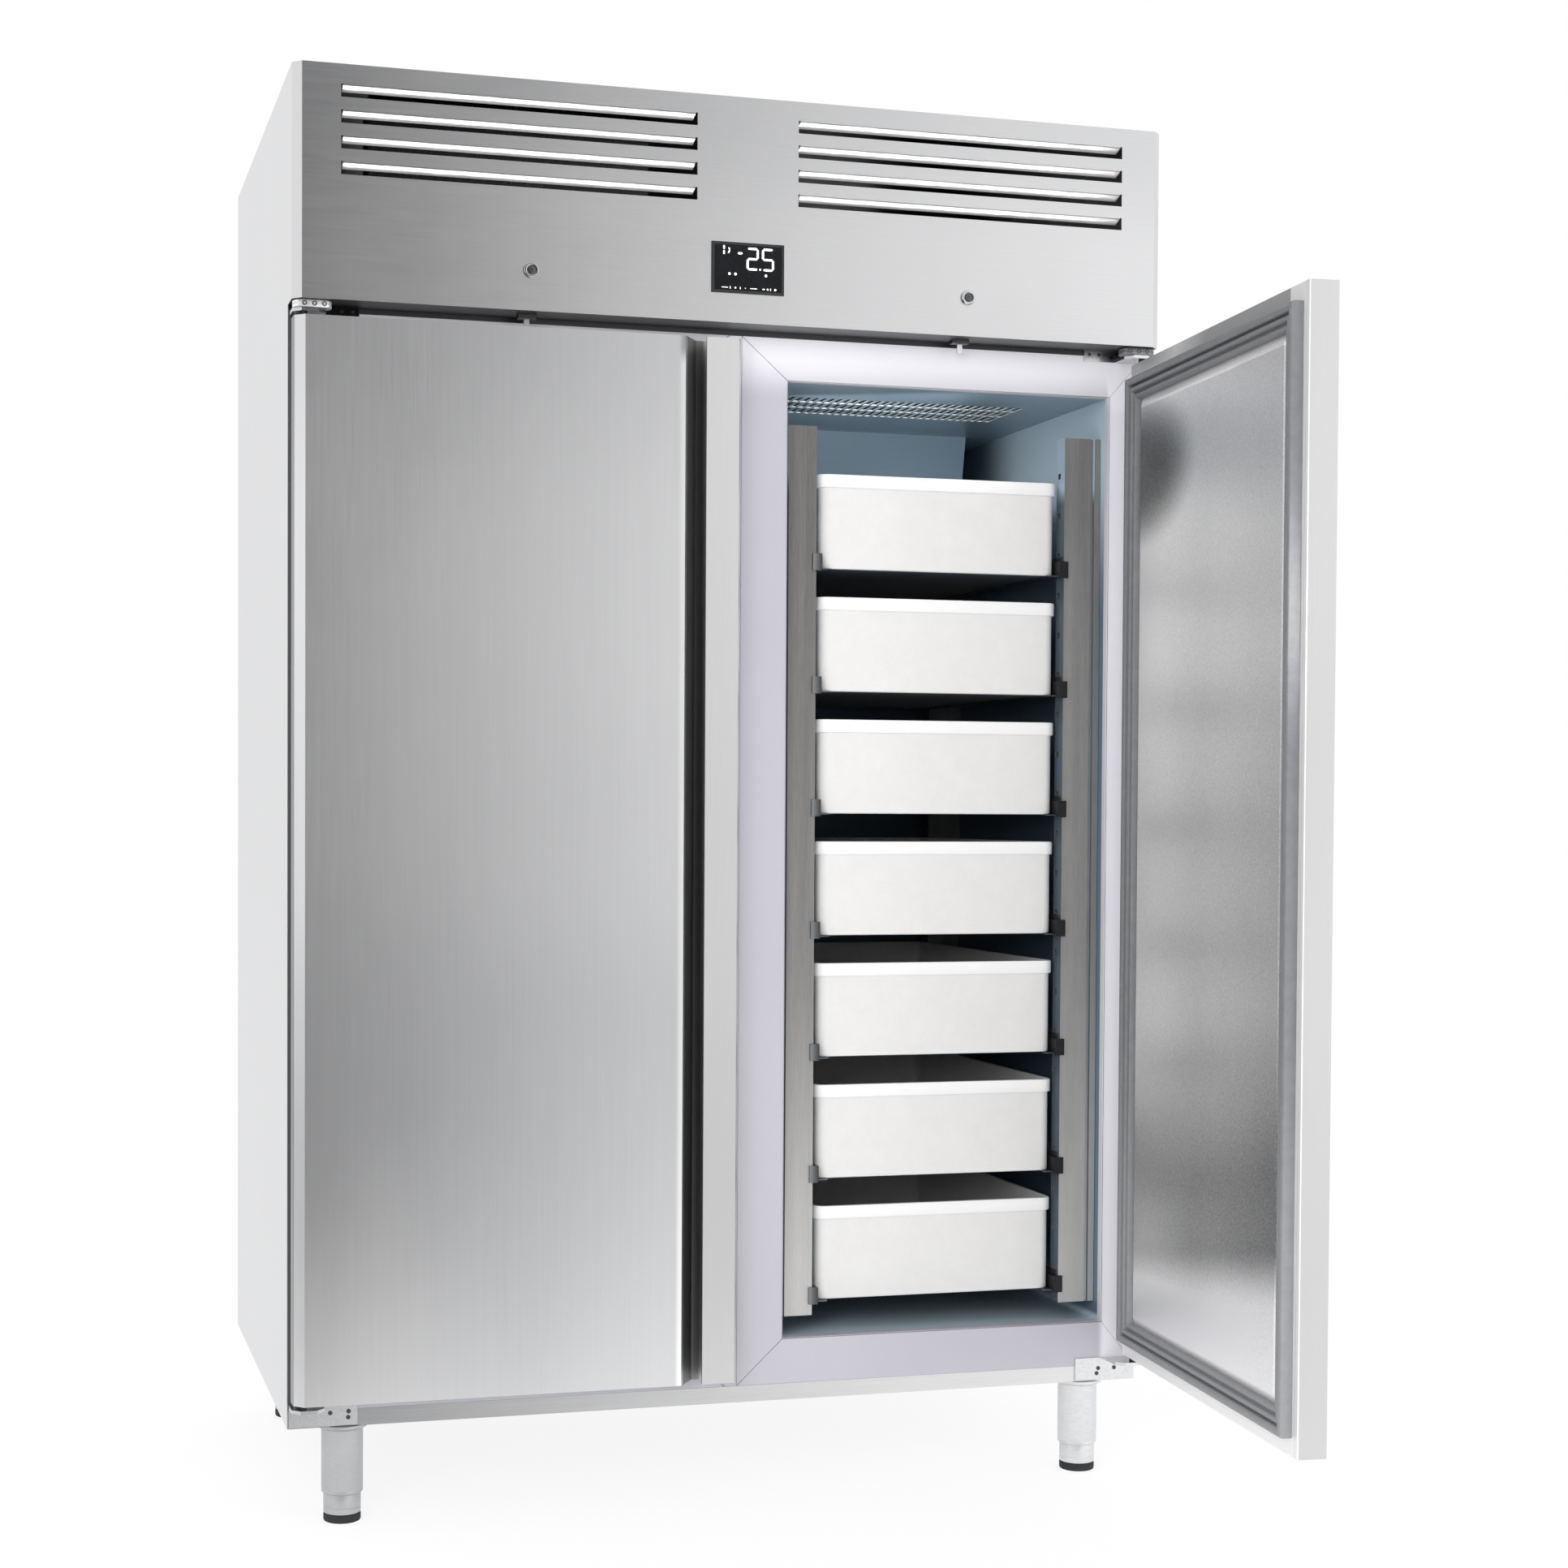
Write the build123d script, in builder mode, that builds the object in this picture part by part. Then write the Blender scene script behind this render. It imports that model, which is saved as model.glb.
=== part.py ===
"""Two-door upright bakery refrigerator with a bay of dough boxes behind its open right door.

Millimetres, +Z up. The pieces are drawn about the middle of the cabinet, with y = 0 on the flat
front of the fascia and z = 0 on the floor. The last step moves the origin to the middle of the
floor area that the cabinet takes with its right door open.
"""
import os
from math import cos, radians, sin

from build123d import *

# Cabinet
width = 1340.0
depth = 830.0
height = 2100.0
body_bottom = 145.0
frame_y = 62.0
fascia_bottom = 1768.0
sheet = 1.2
skin = 1.0
frame_thickness = 2.0
trim_gap = 0.2
running_gap = 0.1

# Refrigerated bays, the right one stated and the left one mirrored
bay_inner_x = 80.0
bay_outer_x = 616.0
bay_rear = 770.0
bay_floor = 236.0
bay_ceiling = 1699.0
bay_middle = (bay_inner_x + bay_outer_x) / 2
opening_inner_x = 82.0
opening_outer_x = 614.0
opening_bottom = 238.0
opening_top = 1698.0
frame_inner_x = 10.0
frame_outer_x = 668.8
frame_bottom = 170.0
frame_top = 1761.0
deck_bottom = 1770.0
deck_top = 1829.0
header_rear = 119.0

# Doors, the right one stated closed and the left one mirrored
door_bottom = 190.0
door_top = 1745.0
door_thickness = 43.0
door_side_x = 667.0
door_free_x = 9.0
door_edge_chamfer = 15.0
door_free_chamfer = 3.0
grip_x = 62.0
grip_thickness = 4.0
channel_x = 94.5
channel_floor_x = 69.0
channel_depth = 36.0
grip_web = 5.0
pivot_x = 655.0
pivot_y = 27.0
right_door_open = 85.0

# Gasket and inner panel, on the back of a door
gasket_hinge_x = 651.0
gasket_free_x = 26.0
gasket_set_in = 25.0
gasket_top_y = 61.2
gasket_width = 34.0
panel_rise = 7.0
panel_bevel = 13.0

# Hinges
pin_radius = 6.0
pin_clearance = 0.05
bush_radius = 9.0
bush_depth = 20.0
tongue_thickness = 5.0
lower_tongue_top = 182.0
upper_tongue_bottom = 1752.0
bracket_length = 100.0
tongue_length = 48.0
bracket_sheet = 2.5

# Fascia
fascia_chamfer = 13.0
fascia_fit = 0.3
louver_inner_x = 78.0
louver_outer_x = 602.0
louver_height = 18.5
louver_top = 2072.0
louver_pitch = 36.3
louver_count = 4
fin_length = 18.0
fin_slope = 20.0
fin_end_gap = 3.0
display_z = 1848.5
display_width = 112.0
display_height = 75.0

# Locks, one over each door, with a bolt that a crank pushes down into the door
lock_offset = 11.0
lock_z = 1826.0
lock_radius = 11.0
lock_shoulder = 2.1
bolt_y = 34.0
bolt_bottom = 1748.0
bolt_travel = 14.0
bolt_width = 8.0
bolt_thickness = 4.0
strike_length = 12.0
strike_width = 8.0
strike_depth = 25.0
crank_pin_radius = 1.5

# Bay furniture
upright_front = 98.0
upright_rear = 720.0
upright_width = 62.0
upright_return = 30.0
upright_bottom = 265.0
upright_top = 1637.0
slot_pitch = 126.0
slot_count = 11
box_count = 7
box_pitch = 189.0
box_width = 400.0
box_length = 600.0
box_height = 146.0
box_wall = 3.5
box_rim = 20.0
box_rim_overhang = 4.0
box_front = 106.0
top_box_top = 1566.0
runner_sheet = 1.5
runner_web = 30.0
runner_ledge = 26.0

# Ceiling grilles and air deflectors
grille_first_slot = 210.0
grille_rows = 3
grille_columns = 12
grille_slot_length = 41.0
grille_slot_width = 20.0
grille_row_pitch = 51.0
grille_column_pitch = 35.0
grille_shift = 36.0
outlet_front = 522.0
outlet_rear = 640.0
deflector_bottom = 1575.0
deflector_slope = 26.0

# Cooling unit
shaft_radius = 4.0
evaporator_fan_y = 300.0
evaporator_fan_radius = 86.0
evaporator_fan_top = 1746.0
evaporator_fan_length = 36.0
condenser_x = -340.0
condenser_width = 420.0
condenser_height = 256.0
condenser_z = deck_top + condenser_height / 2
condenser_front = 90.0
condenser_back = 150.0
condenser_fan_radius = 90.0
condenser_fan_length = 34.0
condenser_fan_y = 200.0
gland_x = -560.0
gland_z = 1880.0
gland_reach = 20.0
gland_stem = 8.0
gland_bore = 5.0

# Legs
leg_x = 586.0
leg_front_y = 92.0
leg_rear_y = 752.0
leg_radius = 30.5
leg_tube_bottom = 43.0
leg_flange_radius = 38.0
foot_radius = 27.5
foot_rubber = 12.0
foot_gap = 0.5
foot_stem_radius = 8.0

# Values worked out from the ones above
deflector_width = bay_outer_x - bay_inner_x - 2 * upright_width
seal_middle = ((gasket_hinge_x + gasket_free_x) / 2, (door_bottom + door_top) / 2)
seal_width = gasket_hinge_x - gasket_free_x
seal_height = door_top - door_bottom - 2 * gasket_set_in
box_bottoms = [top_box_top - box_height - level * box_pitch for level in range(box_count)]
half = width / 2


def facing(y):
    """An upright plane at depth y, looked at from the front: x runs right and its y runs up."""
    return Plane.XZ.offset(-y)


def slab(x, y, z):
    """A flat slab, each of x, y and z the pair of its two faces."""
    with BuildPart() as piece:
        with BuildSketch(Plane.XY.offset(z[0])):
            with Locations(((x[0] + x[1]) / 2, (y[0] + y[1]) / 2)):
                Rectangle(x[1] - x[0], y[1] - y[0])
        extrude(amount=z[1] - z[0])
    return piece.part


def prism(points, z):
    """The outline in plan, drawn up between two heights."""
    with BuildPart() as piece:
        with BuildSketch(Plane.XY.offset(z[0])):
            with BuildLine():
                Polyline(*points, close=True)
            make_face()
        extrude(amount=z[1] - z[0])
    return piece.part


def bar(points, x):
    """The outline seen from the right side, as (y, z) points, drawn out between two x values."""
    with BuildPart() as piece:
        with BuildSketch(Plane.YZ.offset(x[0])):
            with BuildLine():
                Polyline(*points, close=True)
            make_face()
        extrude(amount=x[1] - x[0])
    return piece.part


def mirrored(part):
    """The same piece on the other side of the cabinet."""
    return mirror(part, about=Plane.YZ)


def together(pieces):
    """Several pieces as the solids of one node."""
    return Compound([solid for piece in pieces for solid in piece.solids()])


def both_sides(*pieces):
    """The pieces and their mirror images on the other side, as the solids of one node."""
    return together([*pieces, *[mirrored(piece) for piece in pieces]])


# Sheet-metal shell


def fascia_plan(back):
    """The plan inside the fascia and the side panels, from the fascia back to a depth."""
    edge, corner, front = half - skin - fascia_fit, half - fascia_chamfer - skin, sheet + fascia_fit
    right = [(corner, front), (edge, fascia_chamfer + skin), (edge, back)]
    return [*right, *[(-x, y) for x, y in reversed(right)]]


def side_panel():
    """The right outer side: one sheet, which runs forward beside the fascia at the top."""
    outline = [
        (frame_y, body_bottom),
        (depth - skin, body_bottom),
        (depth - skin, height),
        (fascia_chamfer + skin, height),
        (fascia_chamfer + skin, fascia_bottom),
        (frame_y, fascia_bottom),
    ]
    return bar(outline, (half - skin, half))


def back_panel():
    """The back sheet, with two fields of vent slots behind the machine compartment."""
    slot_length, slot_height, slot_pitch_z, slot_rows = 300.0, 8.0, 24.0, 7
    with BuildPart() as panel:
        with BuildSketch(facing(depth)):
            with Locations((0, (body_bottom + height) / 2)):
                Rectangle(width, height - body_bottom)
        extrude(amount=skin)
        with BuildSketch(facing(depth)):
            with Locations((0, (deck_top + height) / 2)):
                with GridLocations(width / 2, slot_pitch_z, 2, slot_rows):
                    Rectangle(slot_length, slot_height)
            with Locations((gland_x, gland_z)):
                Circle(gland_stem + running_gap)
        extrude(amount=skin, mode=Mode.SUBTRACT)
    return panel.part


def top_cover():
    """The roof sheet, cut to the chamfered corners of the fascia."""
    return prism(fascia_plan(depth - skin), (height - sheet, height))


def base_pan():
    """The bottom sheet, with its front edge turned up to the door frames."""
    outline = [
        (frame_y, body_bottom),
        (depth - skin, body_bottom),
        (depth - skin, body_bottom + sheet),
        (frame_y + sheet, body_bottom + sheet),
        (frame_y + sheet, frame_bottom),
        (frame_y, frame_bottom),
    ]
    return bar(outline, (skin - half, half - skin))


# Insulated box


def insulation_slabs():
    """The foam walls by node name, each a plain slab that its neighbours meet face to face."""
    inside = bay_outer_x + skin
    front = frame_y + frame_thickness
    rear = bay_rear + skin
    low, back = body_bottom + sheet, depth - skin
    side = slab((inside, half - skin), (front, back), (low, deck_bottom))
    return {
        "side_insulation": both_sides(side),
        "mullion_insulation": slab(
            (skin - bay_inner_x, bay_inner_x - skin), (front, rear), (bay_floor - skin, bay_ceiling + skin)
        ),
        "floor_insulation": slab((-inside, inside), (front, rear), (low, bay_floor - skin)),
        "rear_insulation": slab((-inside, inside), (rear, back), (low, deck_bottom)),
        "ceiling_insulation": together([
            slab((-inside, inside), (front, header_rear), (bay_ceiling + skin, deck_bottom)),
            slab((skin - half, half - skin), (front, back), (deck_bottom, deck_top)),
        ]),
    }


def bay_liner():
    """The right bay's seamless steel lining, open to the door and to the air plenum above."""
    front, middle_y = frame_y + frame_thickness, (frame_y + frame_thickness + bay_rear) / 2
    with BuildPart() as liner:
        with BuildSketch(Plane.XY.offset(bay_floor - skin)):
            with Locations((bay_middle, middle_y + skin / 2)):
                Rectangle(bay_outer_x - bay_inner_x + 2 * skin, bay_rear + skin - front)
        extrude(amount=bay_ceiling + 2 * skin - bay_floor)
        with BuildSketch(Plane.XY.offset(bay_floor)):
            with Locations((bay_middle, middle_y)):
                Rectangle(bay_outer_x - bay_inner_x, bay_rear - front)
        extrude(amount=bay_ceiling + skin - bay_floor, mode=Mode.SUBTRACT)
    return liner.part


def door_frame():
    """The four mitred strips round the right bay's opening."""
    outer = [
        (frame_inner_x, frame_bottom),
        (frame_outer_x, frame_bottom),
        (frame_outer_x, frame_top),
        (frame_inner_x, frame_top),
    ]
    inner = [
        (opening_inner_x, opening_bottom),
        (opening_outer_x, opening_bottom),
        (opening_outer_x, opening_top),
        (opening_inner_x, opening_top),
    ]
    strips = []
    for corner in range(4):
        following = (corner + 1) % 4
        with BuildPart() as strip:
            with BuildSketch(facing(frame_y)):
                with BuildLine():
                    Polyline(outer[corner], outer[following], inner[following], inner[corner], close=True)
                make_face()
            extrude(amount=-frame_thickness)
        strips.append(strip.part)
    return strips


def mullion_trim():
    """The narrow cover strip between the two frames."""
    reach = frame_inner_x - trim_gap
    return slab((-reach, reach), (frame_y, frame_y + frame_thickness), (frame_bottom, frame_top))


def ceiling_grille():
    """The right bay's false ceiling, with rows of slots under the fan and an outlet at the rear."""
    front = frame_y + frame_thickness
    rows_middle = grille_first_slot + ((grille_rows - 1) * grille_row_pitch + grille_slot_length) / 2
    with BuildPart() as grille:
        with BuildSketch(Plane.XY.offset(bay_ceiling)):
            with Locations((bay_middle, (front + bay_rear) / 2)):
                Rectangle(bay_outer_x - bay_inner_x, bay_rear - front)
            with Locations((bay_middle - grille_shift, rows_middle)):
                with GridLocations(grille_column_pitch, grille_row_pitch, grille_columns, grille_rows):
                    Rectangle(grille_slot_width, grille_slot_length, mode=Mode.SUBTRACT)
            with Locations((bay_middle, (outlet_front + outlet_rear) / 2)):
                Rectangle(deflector_width, outlet_rear - outlet_front, mode=Mode.SUBTRACT)
        extrude(amount=skin)
    return grille.part


def air_deflector():
    """The right bay's sloping plate, hung by a flange at the front of the ceiling's air outlet."""
    top, flange = bay_ceiling, 12.0
    outline = [
        (outlet_front - flange, top),
        (outlet_front, top),
        (outlet_front + deflector_slope, deflector_bottom),
        (outlet_front + deflector_slope - skin, deflector_bottom),
        (outlet_front - skin, top - skin),
        (outlet_front - flange, top - skin),
    ]
    return bar(outline, (bay_middle - deflector_width / 2, bay_middle + deflector_width / 2))


# Fascia and its fittings


def fascia():
    """The folded front sheet with its chamfered corners and two banks of punched louvres.

    Each louvre is a slot whose own metal stays hinged at the top edge and is bent inwards as a fin.
    """
    near, back = half - fascia_chamfer, fascia_chamfer + skin
    inset, window_lap, lock_lap = sheet * 0.42, 5.0, 2.0
    with BuildPart() as front:
        with BuildSketch(Plane.XY.offset(fascia_bottom)):
            with BuildLine():
                Polyline(
                    (-half, back), (-half, fascia_chamfer), (-near, 0), (near, 0), (half, fascia_chamfer),
                    (half, back), (half - sheet, back), (half - sheet, fascia_chamfer + inset),
                    (near - inset, sheet), (inset - near, sheet),
                    (sheet - half, fascia_chamfer + inset), (sheet - half, back),
                    close=True,
                )
            make_face()
        extrude(amount=height - fascia_bottom)

        bank_middle = (louver_inner_x + louver_outer_x) / 2
        bank_z = louver_top - louver_height / 2 - (louver_count - 1) * louver_pitch / 2
        with BuildSketch(facing(0)):
            with Locations((0, bank_z)):
                with GridLocations(2 * bank_middle, louver_pitch, 2, louver_count):
                    Rectangle(louver_outer_x - louver_inner_x, louver_height)
            with Locations((0, display_z)):
                Rectangle(display_width - 2 * window_lap, display_height - 2 * window_lap)
            with Locations((lock_x(-1), lock_z), (lock_x(1), lock_z)):
                Circle(lock_radius - lock_lap)
        extrude(amount=-sheet, mode=Mode.SUBTRACT)

        run, drop = fin_length * cos(radians(fin_slope)), fin_length * sin(radians(fin_slope))
        for side in (-1, 1):
            for row in range(louver_count):
                top = louver_top - row * louver_pitch
                start = side * bank_middle - (louver_outer_x - louver_inner_x) / 2 + fin_end_gap
                with BuildSketch(Plane.YZ.offset(start)):
                    with BuildLine():
                        Polyline(
                            (0, top + sheet), (sheet, top + sheet), (sheet, top),
                            (sheet + run, top - drop), (run, top - drop - sheet), (0, top - sheet),
                            close=True,
                        )
                    make_face()
                extrude(amount=louver_outer_x - louver_inner_x - 2 * fin_end_gap)
    return front.part


def lock_x(side):
    """Where a lock stands: over its door's middle, set a little to the right on both."""
    return side * (door_side_x + door_free_x) / 2 + lock_offset


def fascia_rail():
    """The sheet that closes the fascia's underside, with a lip on the frames and two bolt guides."""
    lip, play = frame_top + trim_gap, 0.6
    guide_width, guide_depth, guide_drop = 27.0, 14.0, 6.0
    with BuildPart() as rail:
        with BuildSketch(Plane.XY.offset(fascia_bottom)):
            with BuildLine():
                Polyline(*fascia_plan(frame_y + frame_thickness), close=True)
            make_face()
        extrude(amount=sheet)
        with BuildSketch(Plane.XY.offset(lip)):
            with Locations((0, frame_y + frame_thickness / 2)):
                Rectangle(width - 2 * skin, frame_thickness)
        extrude(amount=fascia_bottom - lip)
        with BuildSketch(Plane.XY.offset(fascia_bottom - guide_drop)):
            with Locations((lock_x(-1), bolt_y), (lock_x(1), bolt_y)):
                Rectangle(guide_width, guide_depth)
        extrude(amount=guide_drop)
        with BuildSketch(Plane.XY.offset(fascia_bottom - guide_drop)):
            with Locations((lock_x(-1), bolt_y), (lock_x(1), bolt_y)):
                Rectangle(bolt_width + play, bolt_thickness + play)
        extrude(amount=guide_drop + sheet, mode=Mode.SUBTRACT)
    return rail.part


def controller():
    """The thermostat's body behind the fascia and its black bezel in front of it."""
    bezel, rim, body_depth, body_inset, recess = 2.5, 4.0, 42.0, 5.5, 1.5
    with BuildPart() as case:
        with BuildSketch(facing(0)):
            with Locations((0, display_z)):
                Rectangle(display_width, display_height)
        extrude(amount=bezel)
        with BuildSketch(facing(0)):
            with Locations((0, display_z)):
                Rectangle(display_width - 2 * body_inset, display_height - 2 * body_inset)
        extrude(amount=-body_depth)
        with BuildSketch(facing(-bezel)):
            with Locations((0, display_z)):
                Rectangle(display_width - 2 * rim, display_height - 2 * rim)
        extrude(amount=-recess, mode=Mode.SUBTRACT)
        chamfer(case.faces().filter_by(Axis.Y).sort_by(Axis.Y)[0].outer_wire().edges(), 1.0)
    return case.part


def display_glass():
    """The flat black glass that the digits shine through, set in the bezel."""
    glass_sheet, rim = 1.0, 4.1
    with BuildPart() as glass:
        with BuildSketch(facing(-glass_sheet)):
            with Locations((0, display_z)):
                Rectangle(display_width - 2 * rim, display_height - 2 * rim)
        extrude(amount=glass_sheet)
    return glass.part


def lock_barrel(side):
    """A key barrel in its fascia hole, with a crank behind it whose pin works the bolt."""
    head, crank_front, crank_back, crank_width, pin_length = 2.2, 22.0, 26.0, 8.0, 12.0
    key_width, key_height, key_depth = 1.6, 9.0, 6.0
    place = (lock_x(side), lock_z)
    with BuildPart() as barrel:
        with BuildSketch(facing(-head)):
            with Locations(place):
                Circle(lock_radius)
        extrude(amount=-head)
        with BuildSketch(facing(0)):
            with Locations(place):
                Circle(lock_radius - lock_shoulder)
        extrude(amount=-crank_front)
        with BuildSketch(facing(crank_front)):
            with Locations((lock_x(side) - bolt_travel / 2, lock_z)):
                Rectangle(bolt_travel + crank_width, crank_width)
        extrude(amount=crank_front - crank_back)
        with BuildSketch(facing(crank_back)):
            with Locations((lock_x(side) - bolt_travel, lock_z)):
                Circle(crank_pin_radius)
        extrude(amount=-pin_length)
        with BuildSketch(facing(-head)):
            with Locations(place):
                Rectangle(key_width, key_height)
        extrude(amount=-key_depth, mode=Mode.SUBTRACT)
    return barrel.part


def lock_bolt(side):
    """A flat bolt in the rail's guide, with a cross slot that the crank pin runs in."""
    yoke_low, yoke_high, yoke_width, yoke_shift = lock_z - 10.0, lock_z + 10.0, 30.0, 6.0
    slot_width, slot_height = 22.0, 9.6
    with BuildPart() as bolt:
        with BuildSketch(facing(bolt_y - bolt_thickness / 2)):
            with Locations((lock_x(side), (bolt_bottom + yoke_low) / 2)):
                Rectangle(bolt_width, yoke_low - bolt_bottom)
            with Locations((lock_x(side) - yoke_shift, lock_z)):
                Rectangle(yoke_width, yoke_high - yoke_low)
                Rectangle(slot_width, slot_height, mode=Mode.SUBTRACT)
        extrude(amount=-bolt_thickness)
    return bolt.part


# Doors


def door_block(side, inset):
    """A closed door's outline between its ends, drawn in by an inset on every face.

    In plan it is flat, with a chamfer at the hinge side and a slant down to the finger channel. Both
    ends take a hinge bush, and the top has the slot that the bolt drops into.
    """
    outline = [
        (door_side_x, door_thickness),
        (door_side_x, door_edge_chamfer),
        (door_side_x - door_edge_chamfer, 0),
        (channel_x, 0),
        (channel_floor_x, channel_depth),
        (channel_floor_x, door_thickness),
    ]
    with BuildPart() as block:
        with BuildSketch(Plane.XY.offset(door_bottom + inset)):
            with BuildLine():
                Polyline(*[(side * x, y) for x, y in outline], close=True)
            make_face()
            if inset:
                offset(amount=-inset, kind=Kind.INTERSECTION)
        extrude(amount=door_top - door_bottom - 2 * inset)
        for end, inward in ((door_bottom, 1), (door_top, -1)):
            with BuildSketch(Plane.XY.offset(end)):
                with Locations((side * pivot_x, pivot_y)):
                    Circle(bush_radius)
            extrude(amount=inward * bush_depth, mode=Mode.SUBTRACT)
        with BuildSketch(Plane.XY.offset(door_top)):
            with Locations((lock_x(side), bolt_y)):
                Rectangle(strike_length, strike_width)
        extrude(amount=-strike_depth, mode=Mode.SUBTRACT)
    return block.part


def door_shell(side):
    """A closed door's folded steel skin."""
    with BuildPart() as shell:
        add(door_block(side, 0))
        add(door_block(side, skin), mode=Mode.SUBTRACT)
    return shell.part


def door_grip():
    """The right door's grip, a full-height profile whose lip covers the finger channel."""
    outline = [
        (channel_floor_x, door_thickness),
        (channel_floor_x, channel_depth),
        (door_free_x + grip_web, channel_depth),
        (door_free_x + grip_web, grip_thickness),
        (grip_x, grip_thickness),
        (grip_x, 0),
        (door_free_x + door_free_chamfer, 0),
        (door_free_x, door_free_chamfer),
        (door_free_x, door_thickness),
    ]
    return prism(outline, (door_bottom, door_top))


def door_gasket():
    """The right door's seal: a flat base, a magnet lip outside and two lower bellows ridges."""
    lip, ridge, groove = 12.0, 8.0, 3.0
    bands = [
        (0.0, gasket_width, 6.0),
        (0.0, lip, gasket_top_y - door_thickness),
        (lip + groove, lip + groove + ridge, 15.0),
        (lip + 2 * groove + ridge, gasket_width, 11.5),
    ]
    with BuildPart() as gasket:
        for start, end, rise in bands:
            with BuildSketch(facing(door_thickness)):
                with Locations(seal_middle):
                    Rectangle(seal_width - 2 * start, seal_height - 2 * start)
                    Rectangle(seal_width - 2 * end, seal_height - 2 * end, mode=Mode.SUBTRACT)
            extrude(amount=-rise)
    return gasket.part


def door_inner_panel():
    """The right door's inner pan inside the gasket, one sheet raised with a bevel all round."""
    panel_width, panel_height = seal_width - 2 * gasket_width, seal_height - 2 * gasket_width
    with BuildPart() as panel:
        for gap, mode in ((0.0, Mode.ADD), (skin, Mode.SUBTRACT)):
            with BuildSketch(facing(door_thickness)) as foot_print:
                with Locations(seal_middle):
                    Rectangle(panel_width - 2 * gap, panel_height - 2 * gap)
            with BuildSketch(facing(door_thickness + panel_rise - gap)) as crest:
                with Locations(seal_middle):
                    Rectangle(
                        panel_width - 2 * panel_bevel - 2 * gap, panel_height - 2 * panel_bevel - 2 * gap
                    )
            loft([foot_print.sketch, crest.sketch], mode=mode)
    return panel.part


def door_bushes():
    """The right door's two hinge bushes, each let into the door and standing out to its bracket."""
    with BuildPart() as bushes:
        for start, end in (
            (lower_tongue_top, door_bottom + bush_depth),
            (upper_tongue_bottom, door_top - bush_depth),
        ):
            with BuildSketch(Plane.XY.offset(start)):
                with Locations((pivot_x, pivot_y)):
                    Circle(bush_radius)
                    Circle(pin_radius + pin_clearance, mode=Mode.SUBTRACT)
            extrude(amount=end - start)
    return bushes.part


def opened(part):
    """A piece of the right door, turned from closed to where the door stands open."""
    return part.rotate(Axis((pivot_x, pivot_y, 0), (0, 0, 1)), right_door_open)


# Hinges


def hinge_brackets():
    """The right door's two brackets: a plate screwed to the frame and a tongue with a fixed pin."""
    plate_back, plate_front = frame_y, frame_y - bracket_sheet
    outer, tip, corner = half - 2.0, 12.0, 12.0
    tongue = [
        (outer, plate_back),
        (outer, tip + corner),
        (outer - corner, tip),
        (outer - tongue_length + corner, tip),
        (outer - tongue_length, tip + corner),
        (outer - tongue_length, plate_back),
    ]
    pieces = []
    for tongue_z, plate, pin_end in (
        (lower_tongue_top - tongue_thickness, (body_bottom + 2.0, lower_tongue_top), door_bottom + 15.0),
        (upper_tongue_bottom, (upper_tongue_bottom, fascia_bottom), door_top - 15.0),
    ):
        with BuildPart() as bracket:
            with BuildSketch(Plane.XY.offset(tongue_z)):
                with BuildLine():
                    Polyline(*tongue, close=True)
                make_face()
            extrude(amount=tongue_thickness)
            with BuildSketch(Plane.XY.offset(plate[0])):
                with Locations((outer - bracket_length / 2, (plate_back + plate_front) / 2)):
                    Rectangle(bracket_length, plate_back - plate_front)
            extrude(amount=plate[1] - plate[0])
            with BuildSketch(Plane.XY.offset(tongue_z)):
                with Locations((pivot_x, pivot_y)):
                    Circle(pin_radius)
            extrude(amount=pin_end - tongue_z)
        pieces.append(bracket.part)
    return pieces


# Bay furniture


def upright(front_x, inner_x, open_back):
    """One steel upright, a channel against the bay's side wall.

    front_x is the wall that it stands on and inner_x the flange beside the boxes. open_back is True
    for a front upright: its open side is to the rear, and its flange has the slots for the clips.
    """
    slot_width, slot_height = 9.0, 8.0
    near, far = upright_front, upright_front + upright_return
    if not open_back:
        near, far = (upright_rear, upright_rear - upright_return)
    step = sheet if open_back else -sheet
    across = sheet if front_x > inner_x else -sheet
    outline = [
        (inner_x, far), (inner_x, near), (front_x, near), (front_x, far), (front_x - across, far),
        (front_x - across, near + step), (inner_x + across, near + step), (inner_x + across, far),
    ]
    slots_middle = (upright_bottom + upright_top) / 2
    with BuildPart() as post:
        with BuildSketch(Plane.XY.offset(upright_bottom)):
            with BuildLine():
                Polyline(*outline, close=True)
            make_face()
        extrude(amount=upright_top - upright_bottom)
        if open_back:
            with BuildSketch(Plane.YZ.offset(min(inner_x, inner_x + across))):
                with Locations(((near + far) / 2 - step * 2, slots_middle)):
                    with GridLocations(1, slot_pitch, 1, slot_count):
                        Rectangle(slot_width, slot_height)
            extrude(amount=sheet, mode=Mode.SUBTRACT)
    return post.part


def bay_uprights():
    """The right bay's four uprights, two at the front and two at the rear."""
    posts = []
    for open_back in (True, False):
        posts.append(upright(bay_inner_x, bay_inner_x + upright_width, open_back))
        posts.append(upright(bay_outer_x, bay_outer_x - upright_width, open_back))
    return posts


def runner(side, level):
    """One steel angle between two uprights, its ledge under the edge of the box above it."""
    flange = bay_outer_x - upright_width if side > 0 else bay_inner_x + upright_width
    low, end_gap = box_bottoms[level], 3.5
    web = sorted((flange, flange - side * runner_sheet))
    ledge = sorted((flange, flange - side * runner_ledge))
    start, end = upright_front + end_gap, upright_rear - end_gap
    with BuildPart() as angle:
        with BuildSketch(facing(start)):
            with Locations(((web[0] + web[1]) / 2, low + (runner_web - runner_sheet) / 2)):
                Rectangle(runner_sheet, runner_web + runner_sheet)
            with Locations(((ledge[0] + ledge[1]) / 2, low - runner_sheet / 2)):
                Rectangle(runner_ledge, runner_sheet)
        extrude(amount=start - end)
    return angle.part


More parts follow.
